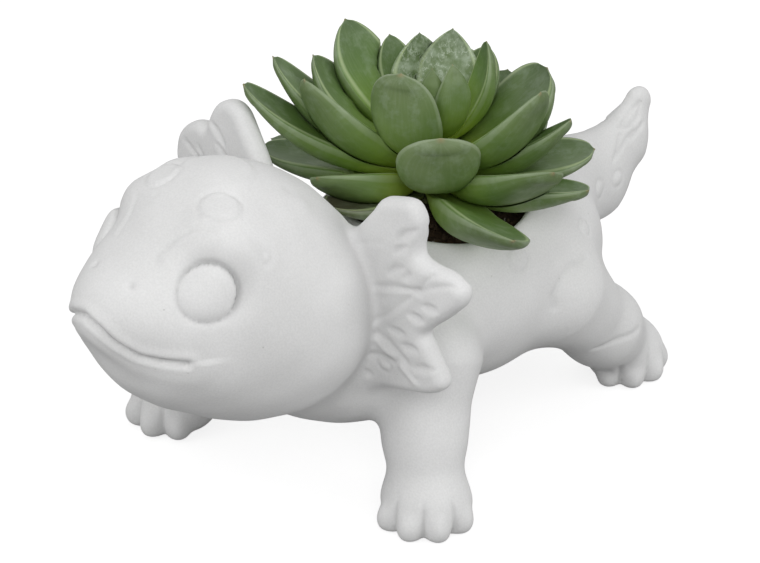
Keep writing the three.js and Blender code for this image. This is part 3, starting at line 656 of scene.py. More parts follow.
def toe_relief(p):
    """Thin grooves between the toes, from the sole up over the front of the foot."""
    relief = np.zeros(len(p))
    for leg in LEGS:
        from_foot = p - leg_joints(leg)[2]
        low = fade(from_foot[:, 2], 4.5, 0.5)
        reach = leg["shape"]["pad"] + 2.5
        for first, second in zip(TOE_SPREAD, TOE_SPREAD[1:]):
            out = toe_heading(leg, (first + second) / 2)
            ahead = from_foot @ np.array([math.sin(out), -math.cos(out), 0])
            beside = from_foot @ np.array([math.cos(out), math.sin(out), 0])
            shown = fade(ahead, reach - 7, reach - 3) * low * (ahead < reach + 6)
            relief -= 0.75 * shown * bell(beside, 0.75)
    return relief


def hand_finish(p):
    """The slow unevenness of a hand-finished casting."""
    swells = [((0.31, 0.12, 0.22), 0.3), ((-0.17, 0.34, 0.15), 1.9), ((0.11, -0.23, 0.37), 4.1),
              ((0.43, 0.29, -0.2), 2.6)]
    return 0.06 * sum(np.sin(p @ np.array(way) + start) for way, start in swells)


def new_object(name, data):
    made = bpy.data.objects.new(name, data)
    bpy.context.scene.collection.objects.link(made)
    return made


def mesh_object(name, vertices, faces, material, body, slot_name, attributes=None):
    """A smooth object from vertices in millimetres from the pot's axis and one or more blocks of faces."""
    mesh = bpy.data.meshes.new(name)
    places = (np.asarray(vertices, float) + AXIS) * 0.001
    faces = [np.asarray(block, np.int32) for block in (faces if isinstance(faces, list) else [faces])]
    sizes = np.concatenate([np.full(len(block), block.shape[1], np.int32) for block in faces])
    mesh.vertices.add(len(places))
    mesh.vertices.foreach_set("co", places.astype(np.float32).ravel())
    mesh.loops.add(int(sizes.sum()))
    mesh.loops.foreach_set("vertex_index", np.concatenate([block.ravel() for block in faces]))
    mesh.polygons.add(len(sizes))
    mesh.polygons.foreach_set("loop_start", np.concatenate([[0], np.cumsum(sizes)[:-1]]).astype(np.int32))
    mesh.polygons.foreach_set("loop_total", sizes)
    mesh.polygons.foreach_set("use_smooth", np.ones(len(sizes), bool))
    mesh.update(calc_edges=True)
    for key, values in (attributes or {}).items():
        layer = mesh.attributes.new(key, "FLOAT", "POINT")
        layer.data.foreach_set("value", np.asarray(values, np.float32))
    mesh.validate()
    mesh.materials.append(material)
    made = new_object(name, mesh)
    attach(made, body)
    return made


def casting():
    """Vertices, quads and attributes of the casting, with its relief raised along the surface's normals, and a
    painted shade that is deeper where the relief sinks.
    """
    vertices, quads = surface_net(casting_distance, CASTING_LOW, CASTING_HIGH, CASTING_STEP)
    _, slope = slope_of(casting_distance, vertices)
    out = slope / np.maximum(np.linalg.norm(slope, axis=1), 1e-6)[:, None]
    outer_skin = np.clip(pot_profile(vertices) / 2, 0, 1) * np.clip(vertices[:, 2] / 2, 0, 1)
    reliefs = (head_relief, gill_relief, skin_relief, toe_relief, hand_finish)
    relief = sum(made_on(vertices) for made_on in reliefs)
    vertices = vertices + out * (relief * outer_skin)[:, None]
    # Painted shade: a mask that grows where the relief sinks, in eye sockets, the mouth, grooves and creases
    return vertices, quads, dict(recess=np.clip(-relief / 1.6, 0, 1) * outer_skin)


def tube_quads(rings, sides, first=0, flipped=False):
    """Quads between the rings of a tube whose vertices are numbered ring by ring."""
    low = first + sides * np.arange(rings - 1)[:, None]
    a = (low + np.arange(sides)).ravel()
    b = (low + (np.arange(sides) + 1) % sides).ravel()
    return np.column_stack([a, b, b + sides, a + sides] if flipped else [a, a + sides, b + sides, b])


def tube_ends(rings, sides):
    """The faces that close a tube's first and last ring, both in the order of their vertices."""
    return np.arange(sides)[None], (np.arange(sides) + (rings - 1) * sides)[None]


def turned_points(radius, angle, z):
    """Points of a grid from their distance from the axis, angle and height."""
    return np.stack([radius * np.cos(angle), radius * np.sin(angle), z], -1).reshape(-1, 3)


# Rosette. Heights are above the crown, where the lowest leaves sit on the stem
SOIL_BELOW_RIM = 2
SOIL_CROWN = 1.5
SCREEN_THICKNESS = 1
CROWN_ABOVE_SOIL = 6.15
STEM_RADIUS = 5
STEM_TIP_ABOVE_CROWN = 17
STEM_TIP_RADIUS = 1
FIT_GAP = 0.3
PRESS_GAP = 0.45
LEAF_DEPTH = 0.43
LEAF_BASE_SHARE = 0.4
LEAF_WIDEST = 0.64
LEAF_SAG = 3
LEAF_SAG_RISE = 15
LEAF_LEVEL_RISE = 7
LEAF_TOP = 0.14
LEAF_KEEL = 0.86
LEAF_ROLL_START = 0.4
LOWEST_SEAT = -2.4
HIGHEST_SEAT = 14

# One row per leaf from the lowest up: azimuth, reach of the tip, height of the tip, width, roll, tone.
# The tone runs from 0, lime, over 1, mid green, to 2, grey green, and 3, olive with a brown cast.
LEAVES = {
    "outer": [
        (-166, 44, 16, 18, 0, 1.6), (-4, 38, 4, 16, 0, 3.0), (-66, 48, 4.5, 16, 0, 1.8),
        (65, 58, 8.4, 21, -25, 1.3), (168, 38, 12, 18, 0, 1.6), (108, 47, 6.5, 20, -12, 1.3),
        (-54, 48, 6.5, 18, 0, 1.0), (-138, 46, 11, 18, 0, 1.7), (134, 45, 9, 18, 8, 1.6),
        (-105, 47, 10, 18, 0, 1.5),
    ],
    "lower": [
        (-10, 39, 11.5, 21, 22, 0.4), (88, 46, 18, 21, -18, 0.9), (-178, 42, 16, 19, 0, 1.5),
        (-38, 52, 32, 18, 0, 1.2), (118, 39, 23, 18, -8, 1.0), (-124, 42, 20, 18, 0, 1.6),
    ],
    "middle": [
        (-52, 44, 35, 17, 0, 1.2), (47, 33, 28, 23, 0, 1.6), (-150, 38, 24, 18, 0, 1.5),
        (-26, 37, 36, 20, 16, 1.1), (152, 33.5, 29, 27, 0, 1.5), (96, 36, 36.5, 21, 0, 1.0),
    ],
    "upper": [
        (-61, 34, 33.6, 20, 0, 1.4), (18, 20, 40, 20, 0, 1.35), (-170, 28, 30, 15, 0, 1.4),
        (-86, 31.5, 39.3, 20, 0, 1.1), (-112, 29, 32, 12, 0, 1.2), (147, 15, 40, 14, 0, 0.9),
    ],
    "inner": [(-125, 18, 36.4, 17, 0, 1.9), (-153, 20, 37, 18, 0, 2.0)],
    "core": [(75, 10, 38.5, 11.5, 0, 0.8), (42, 8, 37, 9, 0, 0.7)],
}

# How pointed the tips are: 0 is round and 1 is pointed
POINTED = {"outer": 0.2, "lower": 0.15, "middle": 0.3, "upper": 0.55, "inner": 1, "core": 1}
ROUND_TIPS = ("leaf_middle_2", "leaf_upper_2", "leaf_middle_5")

SOIL_HEIGHT = pot_profile.rim - SOIL_BELOW_RIM
SOIL_TOP = SOIL_HEIGHT + SOIL_CROWN
CROWN = SOIL_TOP + CROWN_ABOVE_SOIL
LEAF_STEPS = 44
LEAF_SIDES = 36


def stem_radius(height):
    share = np.clip((height - CROWN) / STEM_TIP_ABOVE_CROWN, 0, 1)
    return STEM_RADIUS + (STEM_TIP_RADIUS - STEM_RADIUS) * share


def leaf_outline(share, point):
    """Half-width over the leaf's length; the tip is round where the point is 0 and pointed where it is 1."""
    rising = LEAF_BASE_SHARE + (1 - LEAF_BASE_SHARE) * np.sin(np.pi / 2 * np.minimum(share / LEAF_WIDEST, 1))
    beyond = fade(share, LEAF_WIDEST, 1)
    falling = np.maximum(1 - beyond ** (2.6 - 1.1 * point), 0) ** (0.48 + 0.34 * point)
    return np.where(share < LEAF_WIDEST, rising, falling)


class Leaf:
    """A fleshy leaf. Its own coordinates are a share along it, the distance across, and the distance up."""

    def __init__(self, name, sizes, seat):
        self.name = name
        self.azimuth, self.reach, self.rise, self.width, roll, self.tone = sizes
        self.roll = math.radians(roll)
        self.point = 0 if name in ROUND_TIPS else POINTED[name.split("_")[1]]
        steep = math.atan2(self.rise - seat, self.reach)
        self.bend = LEAF_SAG * max(-1, min((self.rise - seat - LEAF_LEVEL_RISE) / LEAF_SAG_RISE, 1))
        base = float(self.thickness(0))
        below = base * LEAF_KEEL * math.cos(steep)
        towards_stem = base * (LEAF_TOP if steep > 0 else LEAF_KEEL) * abs(math.sin(steep))
        back = float(stem_radius(CROWN + seat - below)) + FIT_GAP + towards_stem
        self.start = np.array([back, 0, CROWN + seat])
        chord = np.array([self.reach, 0, CROWN + self.rise]) - self.start
        self.length = float(np.linalg.norm(chord))
        self.along = chord / self.length
        self.upward = np.array([-self.along[2], 0, self.along[0]])
        self.turn = math.radians(self.azimuth - 90)

    def thickness(self, share):
        swell = 0.44 + 0.56 * np.sin(np.pi * np.minimum(share * 1.1, 1)) - 0.06 * share
        return LEAF_DEPTH * self.width * swell

    def sag(self, share):
        return self.bend * 4 * share * (1 - share)

    def rolled(self, share, across, up, way):
        """Across and up, turned about the leaf's length by a roll that grows over its first part."""
        turn = way * self.roll * np.clip(share / LEAF_ROLL_START, 0, 1)
        return across * np.cos(turn) - up * np.sin(turn), across * np.sin(turn) + up * np.cos(turn)

    def place(self, share, across, up):
        """Points in the animal's frame from the leaf's own coordinates."""
        across, up = self.rolled(share, across, up, 1)
        raised = self.upward * (up - self.sag(share))[:, None]
        flat = self.start + self.along * (share * self.length)[:, None] + raised
        flat[:, 1] += across
        return turned_about_z(flat, self.turn)

    def own(self, p):
        """The leaf's own coordinates of points in the animal's frame."""
        q = turned_about_z(p, -self.turn) - self.start
        share = q @ self.along / self.length
        return share, *self.rolled(share, q[:, 1], q @ self.upward + self.sag(np.clip(share, 0, 1)), -1)

    def half(self, share):
        return self.width / 2 * leaf_outline(share, self.point)

    def underside(self, share, across, margin):
        """Height of the grown leaf's lower face, and where the leaf covers the point."""
        inside = np.clip(share, 0, 1)
        half = self.half(inside) + margin
        far = np.abs(across) / half
        covers = (far < 1) & (share > -0.02) & (share * self.length < self.length + margin)
        keel = LEAF_KEEL * self.thickness(inside) + margin
        return -keel * np.clip(1 - far**2.4, 0, 1) ** 0.55, covers

    def top(self, share):
        return LEAF_TOP * self.thickness(np.clip(share, 0, 1)) + PRESS_GAP

    def way_up(self, share):
        """The leaf's upward direction at each share, in the animal's frame."""
        turn = self.roll * np.clip(share / LEAF_ROLL_START, 0, 1)
        flat = self.upward * np.cos(turn)[:, None] - np.array([0, 1, 0]) * np.sin(turn)[:, None]
        return turned_about_z(flat, self.turn)


def rosette():
    """The leaves from the lowest up, seated at even steps up the stem."""
    rows = [(f"leaf_{row}_{i + 1}", sizes) for row in LEAVES for i, sizes in enumerate(LEAVES[row])]
    rise = (HIGHEST_SEAT - LOWEST_SEAT) / (len(rows) - 1)
    return [Leaf(name, sizes, LOWEST_SEAT + rise * i) for i, (name, sizes) in enumerate(rows)]


def leaf_mesh(leaf, uppers, seed):
    """Vertices, faces and attributes of one leaf, pressed in where upper leaves rest on it."""
    noise = np.random.default_rng(seed)
    shares = 1 - (1 - np.linspace(0, 1, LEAF_STEPS)) ** 1.6
    shares[-1] = 1
    body = shares * 0.99
    angle = np.linspace(0, 2 * np.pi, LEAF_SIDES, endpoint=False)
    side = np.sign(np.cos(angle)) * np.abs(np.cos(angle)) ** 0.75
    face = np.where(np.sin(angle) >= 0, 1.0, 0.0)
    flat_top = np.abs(np.sin(angle)) ** 0.7
    round_keel = np.abs(np.sin(angle)) ** 0.9

    # The outline, with a small sharp point at the tip
    half = leaf.half(body / 0.99 * 0.999)
    half = np.maximum(half * (1 + 0.015 * np.sin(body * 9 + seed)), 0.0)
    mucro = np.clip((shares - 0.982) / 0.018, 0, 1)
    half = half * (1 - mucro) + (0.45 * (1 - mucro) ** 1.5 + 0.03) * mucro
    along = body + 0.011 * mucro**1.5
    thick = leaf.thickness(along) * np.clip(half / (leaf.width * 0.3), 0.02, 1) ** 0.6

    # The upper face is hollow across, and the whole leaf waves a little
    u = np.repeat(along, LEAF_SIDES)
    x = (half[:, None] * side[None]).ravel()
    spread = np.tile(side, LEAF_STEPS)
    cup = (0.8 + 0.35 * noise.random()) * np.clip(1 - (spread / 0.82) ** 2, 0, 1)
    hollow = cup * np.repeat(np.clip(half / 8, 0, 1) * np.clip(along * 3, 0, 1), LEAF_SIDES)
    up_top = (LEAF_TOP * thick[:, None] * flat_top[None]).ravel() - hollow
    up_keel = -(LEAF_KEEL * thick[:, None] * round_keel[None]).ravel()
    up = np.where(np.tile(face, LEAF_STEPS) > 0.5, up_top, up_keel)
    up = up + 0.18 * np.sin(u * 5 + seed) * spread * np.clip(u * 2, 0, 1)
    points = leaf.place(u, x, up)

    for upper in uppers:
        share, across, height = upper.own(points)
        low, covers = upper.underside(share, across, PRESS_GAP)
        pressed = covers & (height > low) & (height < upper.top(share) + 1.5)
        if pressed.any():
            drop = np.where(pressed, height - low, 0)
            points = points - upper.way_up(share) * drop[:, None]

    base, tip = tube_ends(LEAF_STEPS, LEAF_SIDES)
    attributes = dict(
        along=u,
        edge=np.abs(spread),
        upper_face=np.tile(face, LEAF_STEPS),
        tone=np.full(len(u), leaf.tone),
        seed=np.full(len(u), noise.random() * 40),
    )
    return points, [tube_quads(LEAF_STEPS, LEAF_SIDES), base, tip[:, ::-1]], attributes


# The bud at the top of the stem
HEART_RADIUS = 3.2
HEART_HEIGHT = 16
HEART_LEAFLETS = 8
HEART_TONE = 0.7
GOLDEN_ANGLE = math.radians(137.5)


def heart_mesh():
    """The closed bud: small leaflets wrapped round each other, the inner ones higher."""
    bottom = CROWN + STEM_TIP_ABOVE_CROWN + FIT_GAP
    shares = np.linspace(0, 1, 22)
    angle = np.linspace(0, 2 * np.pi, 20, endpoint=False)
    count = len(shares) * len(angle)
    points, faces = [], []
    for i in range(HEART_LEAFLETS):
        inner = i / (HEART_LEAFLETS - 1)
        height = HEART_HEIGHT * (0.74 + 0.26 * inner)
        belly = 1.5 * np.sin(np.pi * np.minimum(shares * 1.25, 1)) ** 0.8
        out = 0.25 + (1 - inner) * (belly + 0.5 * (1 - shares))
        half = (2.5 - 1.2 * inner) * np.sin(np.pi * (0.14 + 0.86 * shares)) ** 0.85
        half[-1] = 0.02
        thick = 0.75 * np.sin(np.pi * (0.25 + 0.75 * shares)) + 0.03
        x = half[:, None] * np.cos(angle)
        y = out[:, None] - 0.16 * x**2 + thick[:, None] * np.sin(angle)
        z = np.broadcast_to(bottom + 0.15 + i * 0.05 + shares[:, None] * (height - 0.6), x.shape)
        leaflet = np.stack([y, x, z], -1).reshape(-1, 3)
        radius = np.hypot(leaflet[:, 0], leaflet[:, 1])
        leaflet[:, :2] *= np.minimum(1, HEART_RADIUS * 0.98 / np.maximum(radius, 1e-6))[:, None]
        points.append(turned_about_z(leaflet, GOLDEN_ANGLE * i))
        faces.append(tube_quads(len(shares), len(angle), i * count, flipped=True))
    attributes = dict(
        along=np.tile(np.repeat(shares, len(angle)), HEART_LEAFLETS),
        edge=np.tile(np.abs(np.cos(angle)), len(shares) * HEART_LEAFLETS),
        upper_face=np.tile((np.sin(angle) < 0).astype(float), len(shares) * HEART_LEAFLETS),
        tone=np.full(count * HEART_LEAFLETS, HEART_TONE),
        seed=np.repeat(3.0 * np.arange(HEART_LEAFLETS), count),
    )
    return np.concatenate(points), np.concatenate(faces), attributes


def waves(p, count, shortest, longest, seed):
    """Smooth unevenness between about -1 and 1, from waves of random lengths and directions."""
    noise = np.random.default_rng(seed)
    total = np.zeros(len(p))
    for _ in range(count):
        way = noise.normal(size=3)
        way *= 2 * np.pi / (np.linalg.norm(way) * noise.uniform(shortest, longest))
        total += np.sin(p @ way + noise.uniform(0, 6.28))
    return total / math.sqrt(count)


def stem_mesh():
    """The stem with the scars of lost leaves."""
    heights = np.linspace(SOIL_TOP + FIT_GAP, CROWN + STEM_TIP_ABOVE_CROWN, 64)
    angle = np.linspace(0, 2 * np.pi, 56, endpoint=False)
    z, a = np.meshgrid(heights, angle, indexing="ij")
    scars = 0.22 * np.abs(np.sin(a * 2.5 + z * 2.1)) ** 6 + 0.12 * np.sin(z * 5.3 + 2 * np.sin(a))
    points = turned_points(stem_radius(z) - 0.25 + scars, a, z)
    bottom, tip = tube_ends(len(heights), len(angle))
    return points, [tube_quads(len(heights), len(angle), flipped=True), bottom[:, ::-1], tip]


# The soil: rings over its top, down its side and under it, its room in the pot, and its crumbs
SOIL_TOP_RINGS = 46
SOIL_SIDE_RINGS = 30
SOIL_FOOT_RINGS = 16
SOIL_SIDES = 150
SOIL_MIDDLE = 0.6
SOIL_WALL = MOUTH_RADIUS - 0.95
SOIL_FOOT = FLOOR_RADIUS - 0.95
SOIL_SIDE_END = POT_FLOOR + FLOOR_CORNER + 0.5
SOIL_BOTTOM = POT_FLOOR + SCREEN_THICKNESS + 2 * FIT_GAP
SOIL_EDGE = SOIL_HEIGHT - 1.1
CRUMBS = 420


def soil_surface(reach):
    """Height of the soil's low dome at a distance from the pot's axis."""
    return SOIL_EDGE + (SOIL_CROWN - 0.1) * (1 - (reach / SOIL_WALL) ** 2)


def ball(bands, sides):
    """A unit ball as quads, its poles closed by thin quads."""
    polar, angle = np.meshgrid(np.linspace(0.02, np.pi - 0.02, bands),
                               np.linspace(0, 2 * np.pi, sides, endpoint=False), indexing="ij")
    return turned_points(np.sin(polar), angle, np.cos(polar)), tube_quads(bands, sides)


def soil_mesh():
    """Crumbly potting soil: an uneven top with loose crumbs, and the ball's rough side in the pot."""
    radii = np.concatenate([np.linspace(SOIL_MIDDLE, SOIL_WALL, SOIL_TOP_RINGS),
                            np.linspace(SOIL_WALL, SOIL_FOOT, SOIL_SIDE_RINGS)[1:],
                            np.linspace(SOIL_FOOT, SOIL_MIDDLE, SOIL_FOOT_RINGS)[1:]])
    side = np.linspace(SOIL_EDGE, SOIL_SIDE_END, SOIL_SIDE_RINGS)[1:]
    rounded = np.sin(np.minimum(np.linspace(0, 4, SOIL_FOOT_RINGS)[1:], 1) * np.pi / 2)
    foot = SOIL_SIDE_END - (SOIL_SIDE_END - SOIL_BOTTOM) * rounded
    heights = np.concatenate([soil_surface(radii[:SOIL_TOP_RINGS]), side, foot])
    r, a = np.meshgrid(radii, np.linspace(0, 2 * np.pi, SOIL_SIDES, endpoint=False), indexing="ij")
    points = turned_points(r, a, np.broadcast_to(heights[:, None], r.shape))
    rough = 0.35 * waves(points, 30, 1.6, 6, 5)
    top = np.repeat(np.arange(len(radii)) < SOIL_TOP_RINGS, SOIL_SIDES)
    points[:, 2] += np.where(top, np.clip(rough, -0.6, 0.7), 0)
    points[:, :2] *= np.where(top, 1, 1 + np.clip(rough, -0.6, 0.25) / 40)[:, None]

    parts, quads = [points], [tube_quads(len(radii), SOIL_SIDES)]
    grain = [np.zeros(len(points))]
    middle, bottom = tube_ends(len(radii), SOIL_SIDES)
    corners, sides = ball(7, 10)
    noise = np.random.default_rng(11)
    for i in range(CRUMBS):
        size = noise.uniform(0.35, 1.15)
        reach = math.sqrt(noise.uniform(0.05, 1)) * (SOIL_WALL - 1.2)
        turn = noise.uniform(0, 2 * np.pi)
        centre = np.array([reach * math.cos(turn), reach * math.sin(turn), soil_surface(reach) + 0.15])
        uneven = 1 + 0.16 * waves(corners * 3, 8, 2, 5, 7)[:, None]
        lump = corners * noise.uniform(0.7, 1.1, 3) * size * uneven
        parts.append(turned_about_z(lump, noise.uniform(0, 3)) + centre)
        quads.append(sides + len(points) + i * len(corners))
        grain.append(np.full(len(corners), noise.uniform(0.05, 1)))
    faces = [np.concatenate(quads), middle, bottom[:, ::-1]]
    return np.concatenate(parts), faces, dict(grain=np.concatenate(grain))


# Materials

class Nodes:
    """A material's node tree, with short calls to add and join nodes."""

    def __init__(self, name, roughness, **sockets):
        self.material = bpy.data.materials.new(name)
        self.material.use_nodes = True
        self.tree = self.material.node_tree
        self.shader = self.tree.nodes["Principled BSDF"]
        self.shader.inputs["Roughness"].default_value = roughness
        for key, value in sockets.items():
            self.shader.inputs[key.replace("_", " ")].default_value = value

    def add(self, kind, inputs=None, **settings):
        made = self.tree.nodes.new(kind)
        for key, value in settings.items():
            setattr(made, key, value)
        for key, value in (inputs or {}).items():
            if isinstance(value, bpy.types.NodeSocket):
                self.tree.links.new(value, made.inputs[key])
            else:
                made.inputs[key].default_value = value
        return made

    def coordinates(self):
        return self.add("ShaderNodeTexCoord").outputs["Object"]

    def attribute(self, name):
        return self.add("ShaderNodeAttribute", attribute_name=name).outputs["Fac"]

    def math(self, operation, a, b=0.0):
        return self.add("ShaderNodeMath", {0: a, 1: b}, operation=operation).outputs[0]

    def times(self, a, b):
        return self.math("MULTIPLY", a, b)

    def span(self, value, low, high, to_low=0.0, to_high=1.0):
        inputs = {"Value": value, "From Min": low, "From Max": high, "To Min": to_low, "To Max": to_high}
        return self.add("ShaderNodeMapRange", inputs, clamp=True).outputs["Result"]

    def ramp(self, value, *stops):
        made = self.add("ShaderNodeValToRGB", {"Fac": value})
        elements = made.color_ramp.elements
        elements[0].position, elements[0].color = stops[0][0], (*stops[0][1], 1)
        elements[1].position, elements[1].color = stops[-1][0], (*stops[-1][1], 1)
        for position, colour in stops[1:-1]:
            elements.new(position).color = (*colour, 1)
        return made.outputs["Color"]

    def mix(self, share, a, b, kind="MIX"):
        made = self.add("ShaderNodeMix", data_type="RGBA", blend_type=kind)
        for socket, value in ((made.inputs[0], share), (made.inputs[6], a), (made.inputs[7], b)):
            if isinstance(value, bpy.types.NodeSocket):
                self.tree.links.new(value, socket)
            else:
                socket.default_value = (*value, 1) if isinstance(value, tuple) else value
        return made.outputs[2]

    def noise(self, vector, size, detail=3.0, roughness=0.5):
        """Noise whose features are about size millimetres across."""
        inputs = {"Vector": vector, "Scale": 1000 / size, "Detail": detail, "Roughness": roughness}
        return self.add("ShaderNodeTexNoise", inputs).outputs["Fac"]

    def cells(self, vector, size):
        """Distance from the middle of the nearest cell, and the cell's own colour."""
        made = self.add("ShaderNodeTexVoronoi", {"Vector": vector, "Scale": 1000 / size})
        return made.outputs["Distance"], made.outputs["Color"]

    def bump(self, height, depth, strength=1.0, normal=None):
        inputs = {"Height": height, "Distance": depth * 0.001, "Strength": strength}
        if normal is not None:
            inputs["Normal"] = normal
        return self.add("ShaderNodeBump", inputs).outputs["Normal"]

    def finish(self, colour, normal=None, roughness=None):
        self.tree.links.new(colour, self.shader.inputs["Base Color"])
        if normal is not None:
            self.tree.links.new(normal, self.shader.inputs["Normal"])
        if roughness is not None:
            self.tree.links.new(roughness, self.shader.inputs["Roughness"])
        return self.material


def bisque_material():
    n = Nodes("bisque", 0.82, Specular_IOR_Level=0.28)
    at = n.coordinates()
    cloud = n.noise(at, 26, 3)
    grain = n.noise(at, 0.55, 2)
    colour = n.ramp(cloud, (0.3, (0.72, 0.72, 0.715)), (0.7, (0.80, 0.80, 0.797)))
    colour = n.mix(0.14, colour, n.ramp(grain, (0.3, (0.55, 0.55, 0.55)), (0.7, (0.95, 0.95, 0.95))))
    away, tint = n.cells(at, 5)
    chosen = n.span(n.add("ShaderNodeSeparateColor", {"Color": tint}).outputs[0], 0.62, 0.68)
    speck = n.times(n.span(away, 0.055, 0.025), chosen)
    colour = n.mix(n.times(speck, 0.35), colour, (0.42, 0.41, 0.40))
    # Painted shade: the colour is darkened towards grey where the relief sinks, in sockets, grooves and
    # creases
    colour = n.mix(n.span(n.attribute("recess"), 0.12, 1.0, 0, 0.4), colour, (0.30, 0.30, 0.30))
    normal = n.bump(n.noise(at, 5, 3), 0.25, 0.25)
    normal = n.bump(grain, 0.05, 0.6, normal)
    normal = n.bump(n.math("SUBTRACT", 1.0, speck), 0.12, 0.8, normal)
    return n.finish(colour, normal)


def leaf_material(name, bloom):
    n = Nodes(name, 0.46, Specular_IOR_Level=0.4)
    at = n.coordinates()
    along = n.attribute("along")
    edge = n.attribute("edge")
    upper = n.attribute("upper_face")
    tone = n.attribute("tone")
    lime = n.ramp(along, (0.0, (0.62, 0.66, 0.03)), (0.4, (0.42, 0.52, 0.02)), (0.65, (0.15, 0.27, 0.03)),
                  (1.0, (0.12, 0.20, 0.055)))
    green = n.ramp(along, (0.0, (0.36, 0.48, 0.04)), (0.35, (0.18, 0.31, 0.03)),
                   (0.65, (0.105, 0.195, 0.035)), (1.0, (0.09, 0.15, 0.05)))
    grey = n.ramp(along, (0.0, (0.24, 0.34, 0.06)), (0.4, (0.14, 0.215, 0.065)), (1.0, (0.14, 0.195, 0.10)))
    olive = n.ramp(along, (0.0, (0.12, 0.14, 0.05)), (0.5, (0.085, 0.11, 0.045)), (1.0, (0.09, 0.075, 0.05)))
    colour = n.mix(n.span(tone, 0, 1), lime, green)
    colour = n.mix(n.span(tone, 1, 2), colour, grey)
    colour = n.mix(n.span(tone, 2, 3), colour, olive)
    below = n.ramp(along, (0.0, (0.36, 0.47, 0.04)), (0.3, (0.20, 0.31, 0.05)), (0.7, (0.185, 0.265, 0.095)),
                   (1.0, (0.16, 0.21, 0.09)))
    colour = n.mix(n.span(upper, 0, 1, 0.55, 0), colour, below)
    patches = n.noise(at, 9, 3)
    darker = n.mix(1.0, colour, (0.55, 0.64, 0.48), "MULTIPLY")
    colour = n.mix(n.span(patches, 0.35, 0.7, 0, 0.55), colour, darker)
    on_leaf = {0: n.times(along, 0.006), 1: n.times(edge, 0.02), 2: n.times(n.attribute("seed"), 0.01)}
    streaks = n.noise(n.add("ShaderNodeCombineXYZ", on_leaf).outputs[0], 1.1, 3)
    colour = n.mix(n.span(streaks, 0.45, 0.75, 0, 0.08), colour, (0.42, 0.5, 0.34))
    dusty = n.span(n.noise(at, 4, 5, 0.65), 0.48, 0.72, 0, 0.3)
    dusty = n.times(dusty, n.span(along, 0.3, 0.75, 0.15, 1))
    colour = n.mix(n.times(dusty, n.span(tone, 0.2, 1.2)), colour, (0.36, 0.44, 0.33))
    # A pale band on the upper face near its edge: partly the leaf's own pale margin, partly a painted
    # highlight where the edge catches light
    line = n.times(n.span(edge, 0.78, 0.86), n.span(edge, 0.97, 0.90))
    line = n.times(line, n.times(upper, n.span(along, 0.15, 0.5, 0.1, 0.6)))
    colour = n.mix(line, colour, (0.46, 0.56, 0.30))
    # A pale rim at the very margin: partly the leaf's own pale margin, partly a painted highlight along the
    # edge
    rim = n.times(n.span(edge, 0.975, 0.998), n.span(along, 0.2, 0.6, 0.1, 0.35))
    colour = n.mix(rim, colour, (0.45, 0.52, 0.36))
    colour = n.mix(n.span(along, 0.985, 1.0, 0, 0.7), colour, (0.32, 0.25, 0.13))
    if bloom:
        powder = n.span(n.noise(at, 4, 4, 0.6), 0.42, 0.68, 0, bloom)
        colour = n.mix(powder, colour, (0.48, 0.56, 0.44))
        stretched = n.add("ShaderNodeMapping", {"Vector": at, "Scale": (1.0, 1.0, 0.45)}).outputs[0]
        ridge = n.math("ABSOLUTE", n.math("SUBTRACT", n.noise(stretched, 2.0, 5, 0.62), 0.5))
        shown = n.span(n.noise(at, 3, 3), 0.38, 0.6, 0, bloom * 1.3)
        colour = n.mix(n.times(n.span(ridge, 0.035, 0.0), shown), colour, (0.60, 0.68, 0.56))
    fine = n.noise(at, 0.7, 2)
    normal = n.bump(n.noise(at, 6, 2), 0.35, 0.35)
    normal = n.bump(fine, 0.03, 0.5, normal)
    return n.finish(colour, normal, n.span(patches, 0.3, 0.7, 0.42, 0.56))


def soil_material():
    n = Nodes("potting_soil", 0.95, Specular_IOR_Level=0.15)
    at = n.coordinates()
    grain = n.attribute("grain")
    earth = n.ramp(n.noise(at, 1.6, 4, 0.65), (0.3, (0.012, 0.008, 0.005)), (0.7, (0.06, 0.038, 0.022)))
    crumbs = n.ramp(grain, (0.0, (0.045, 0.028, 0.016)), (0.7, (0.11, 0.075, 0.045)),
                    (0.9, (0.12, 0.085, 0.055)), (0.93, (0.5, 0.47, 0.42)))
    colour = n.mix(n.span(grain, 0.0, 0.04), earth, n.mix(0.5, crumbs, earth, "MULTIPLY"))
    return n.finish(colour, n.bump(n.noise(at, 0.8, 4, 0.7), 0.3, 0.9))


def stem_material():
    n = Nodes("stem", 0.75, Specular_IOR_Level=0.3)
    at = n.coordinates()
    colour = n.ramp(n.noise(at, 2.2, 4, 0.6), (0.3, (0.05, 0.06, 0.02)), (0.55, (0.12, 0.14, 0.05)),
                    (0.75, (0.21, 0.17, 0.10)))
    return n.finish(colour, n.bump(n.noise(at, 1.0, 3), 0.25, 0.8))


def screen_material():
    n = Nodes("screen_mesh", 0.6, Specular_IOR_Level=0.4)
    at = n.coordinates()
    colour = n.ramp(n.noise(at, 1.5, 3), (0.3, (0.05, 0.053, 0.052)), (0.7, (0.10, 0.104, 0.10)))
    return n.finish(colour, n.bump(n.noise(at, 0.5, 2), 0.08, 0.6))


# Pieces

bisque = bisque_material()
leaf_green = leaf_material("leaf", 0.0)
inner_green = leaf_material("inner_leaf", 0.5)

skin, skin_faces, skin_values = casting()
body = mesh_object("ceramic_axolotl", skin, skin_faces, bisque, "planter", "bisque", skin_values)
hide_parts("planter_body")

for screen in [o for o in bpy.context.scene.objects if o.get("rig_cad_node") == "drain_screen"]:
    screen.data.materials.clear()
    screen.data.materials.append(screen_material())

soil_points, soil_faces, soil_values = soil_mesh()
soil = mesh_object("crumbly_soil", soil_points, soil_faces, soil_material(), "plant", "potting_soil",
                   soil_values)
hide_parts("root_ball")

stem = mesh_object("scarred_stem", *stem_mesh(), stem_material(), "plant", "stem")
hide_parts("plant_stem")

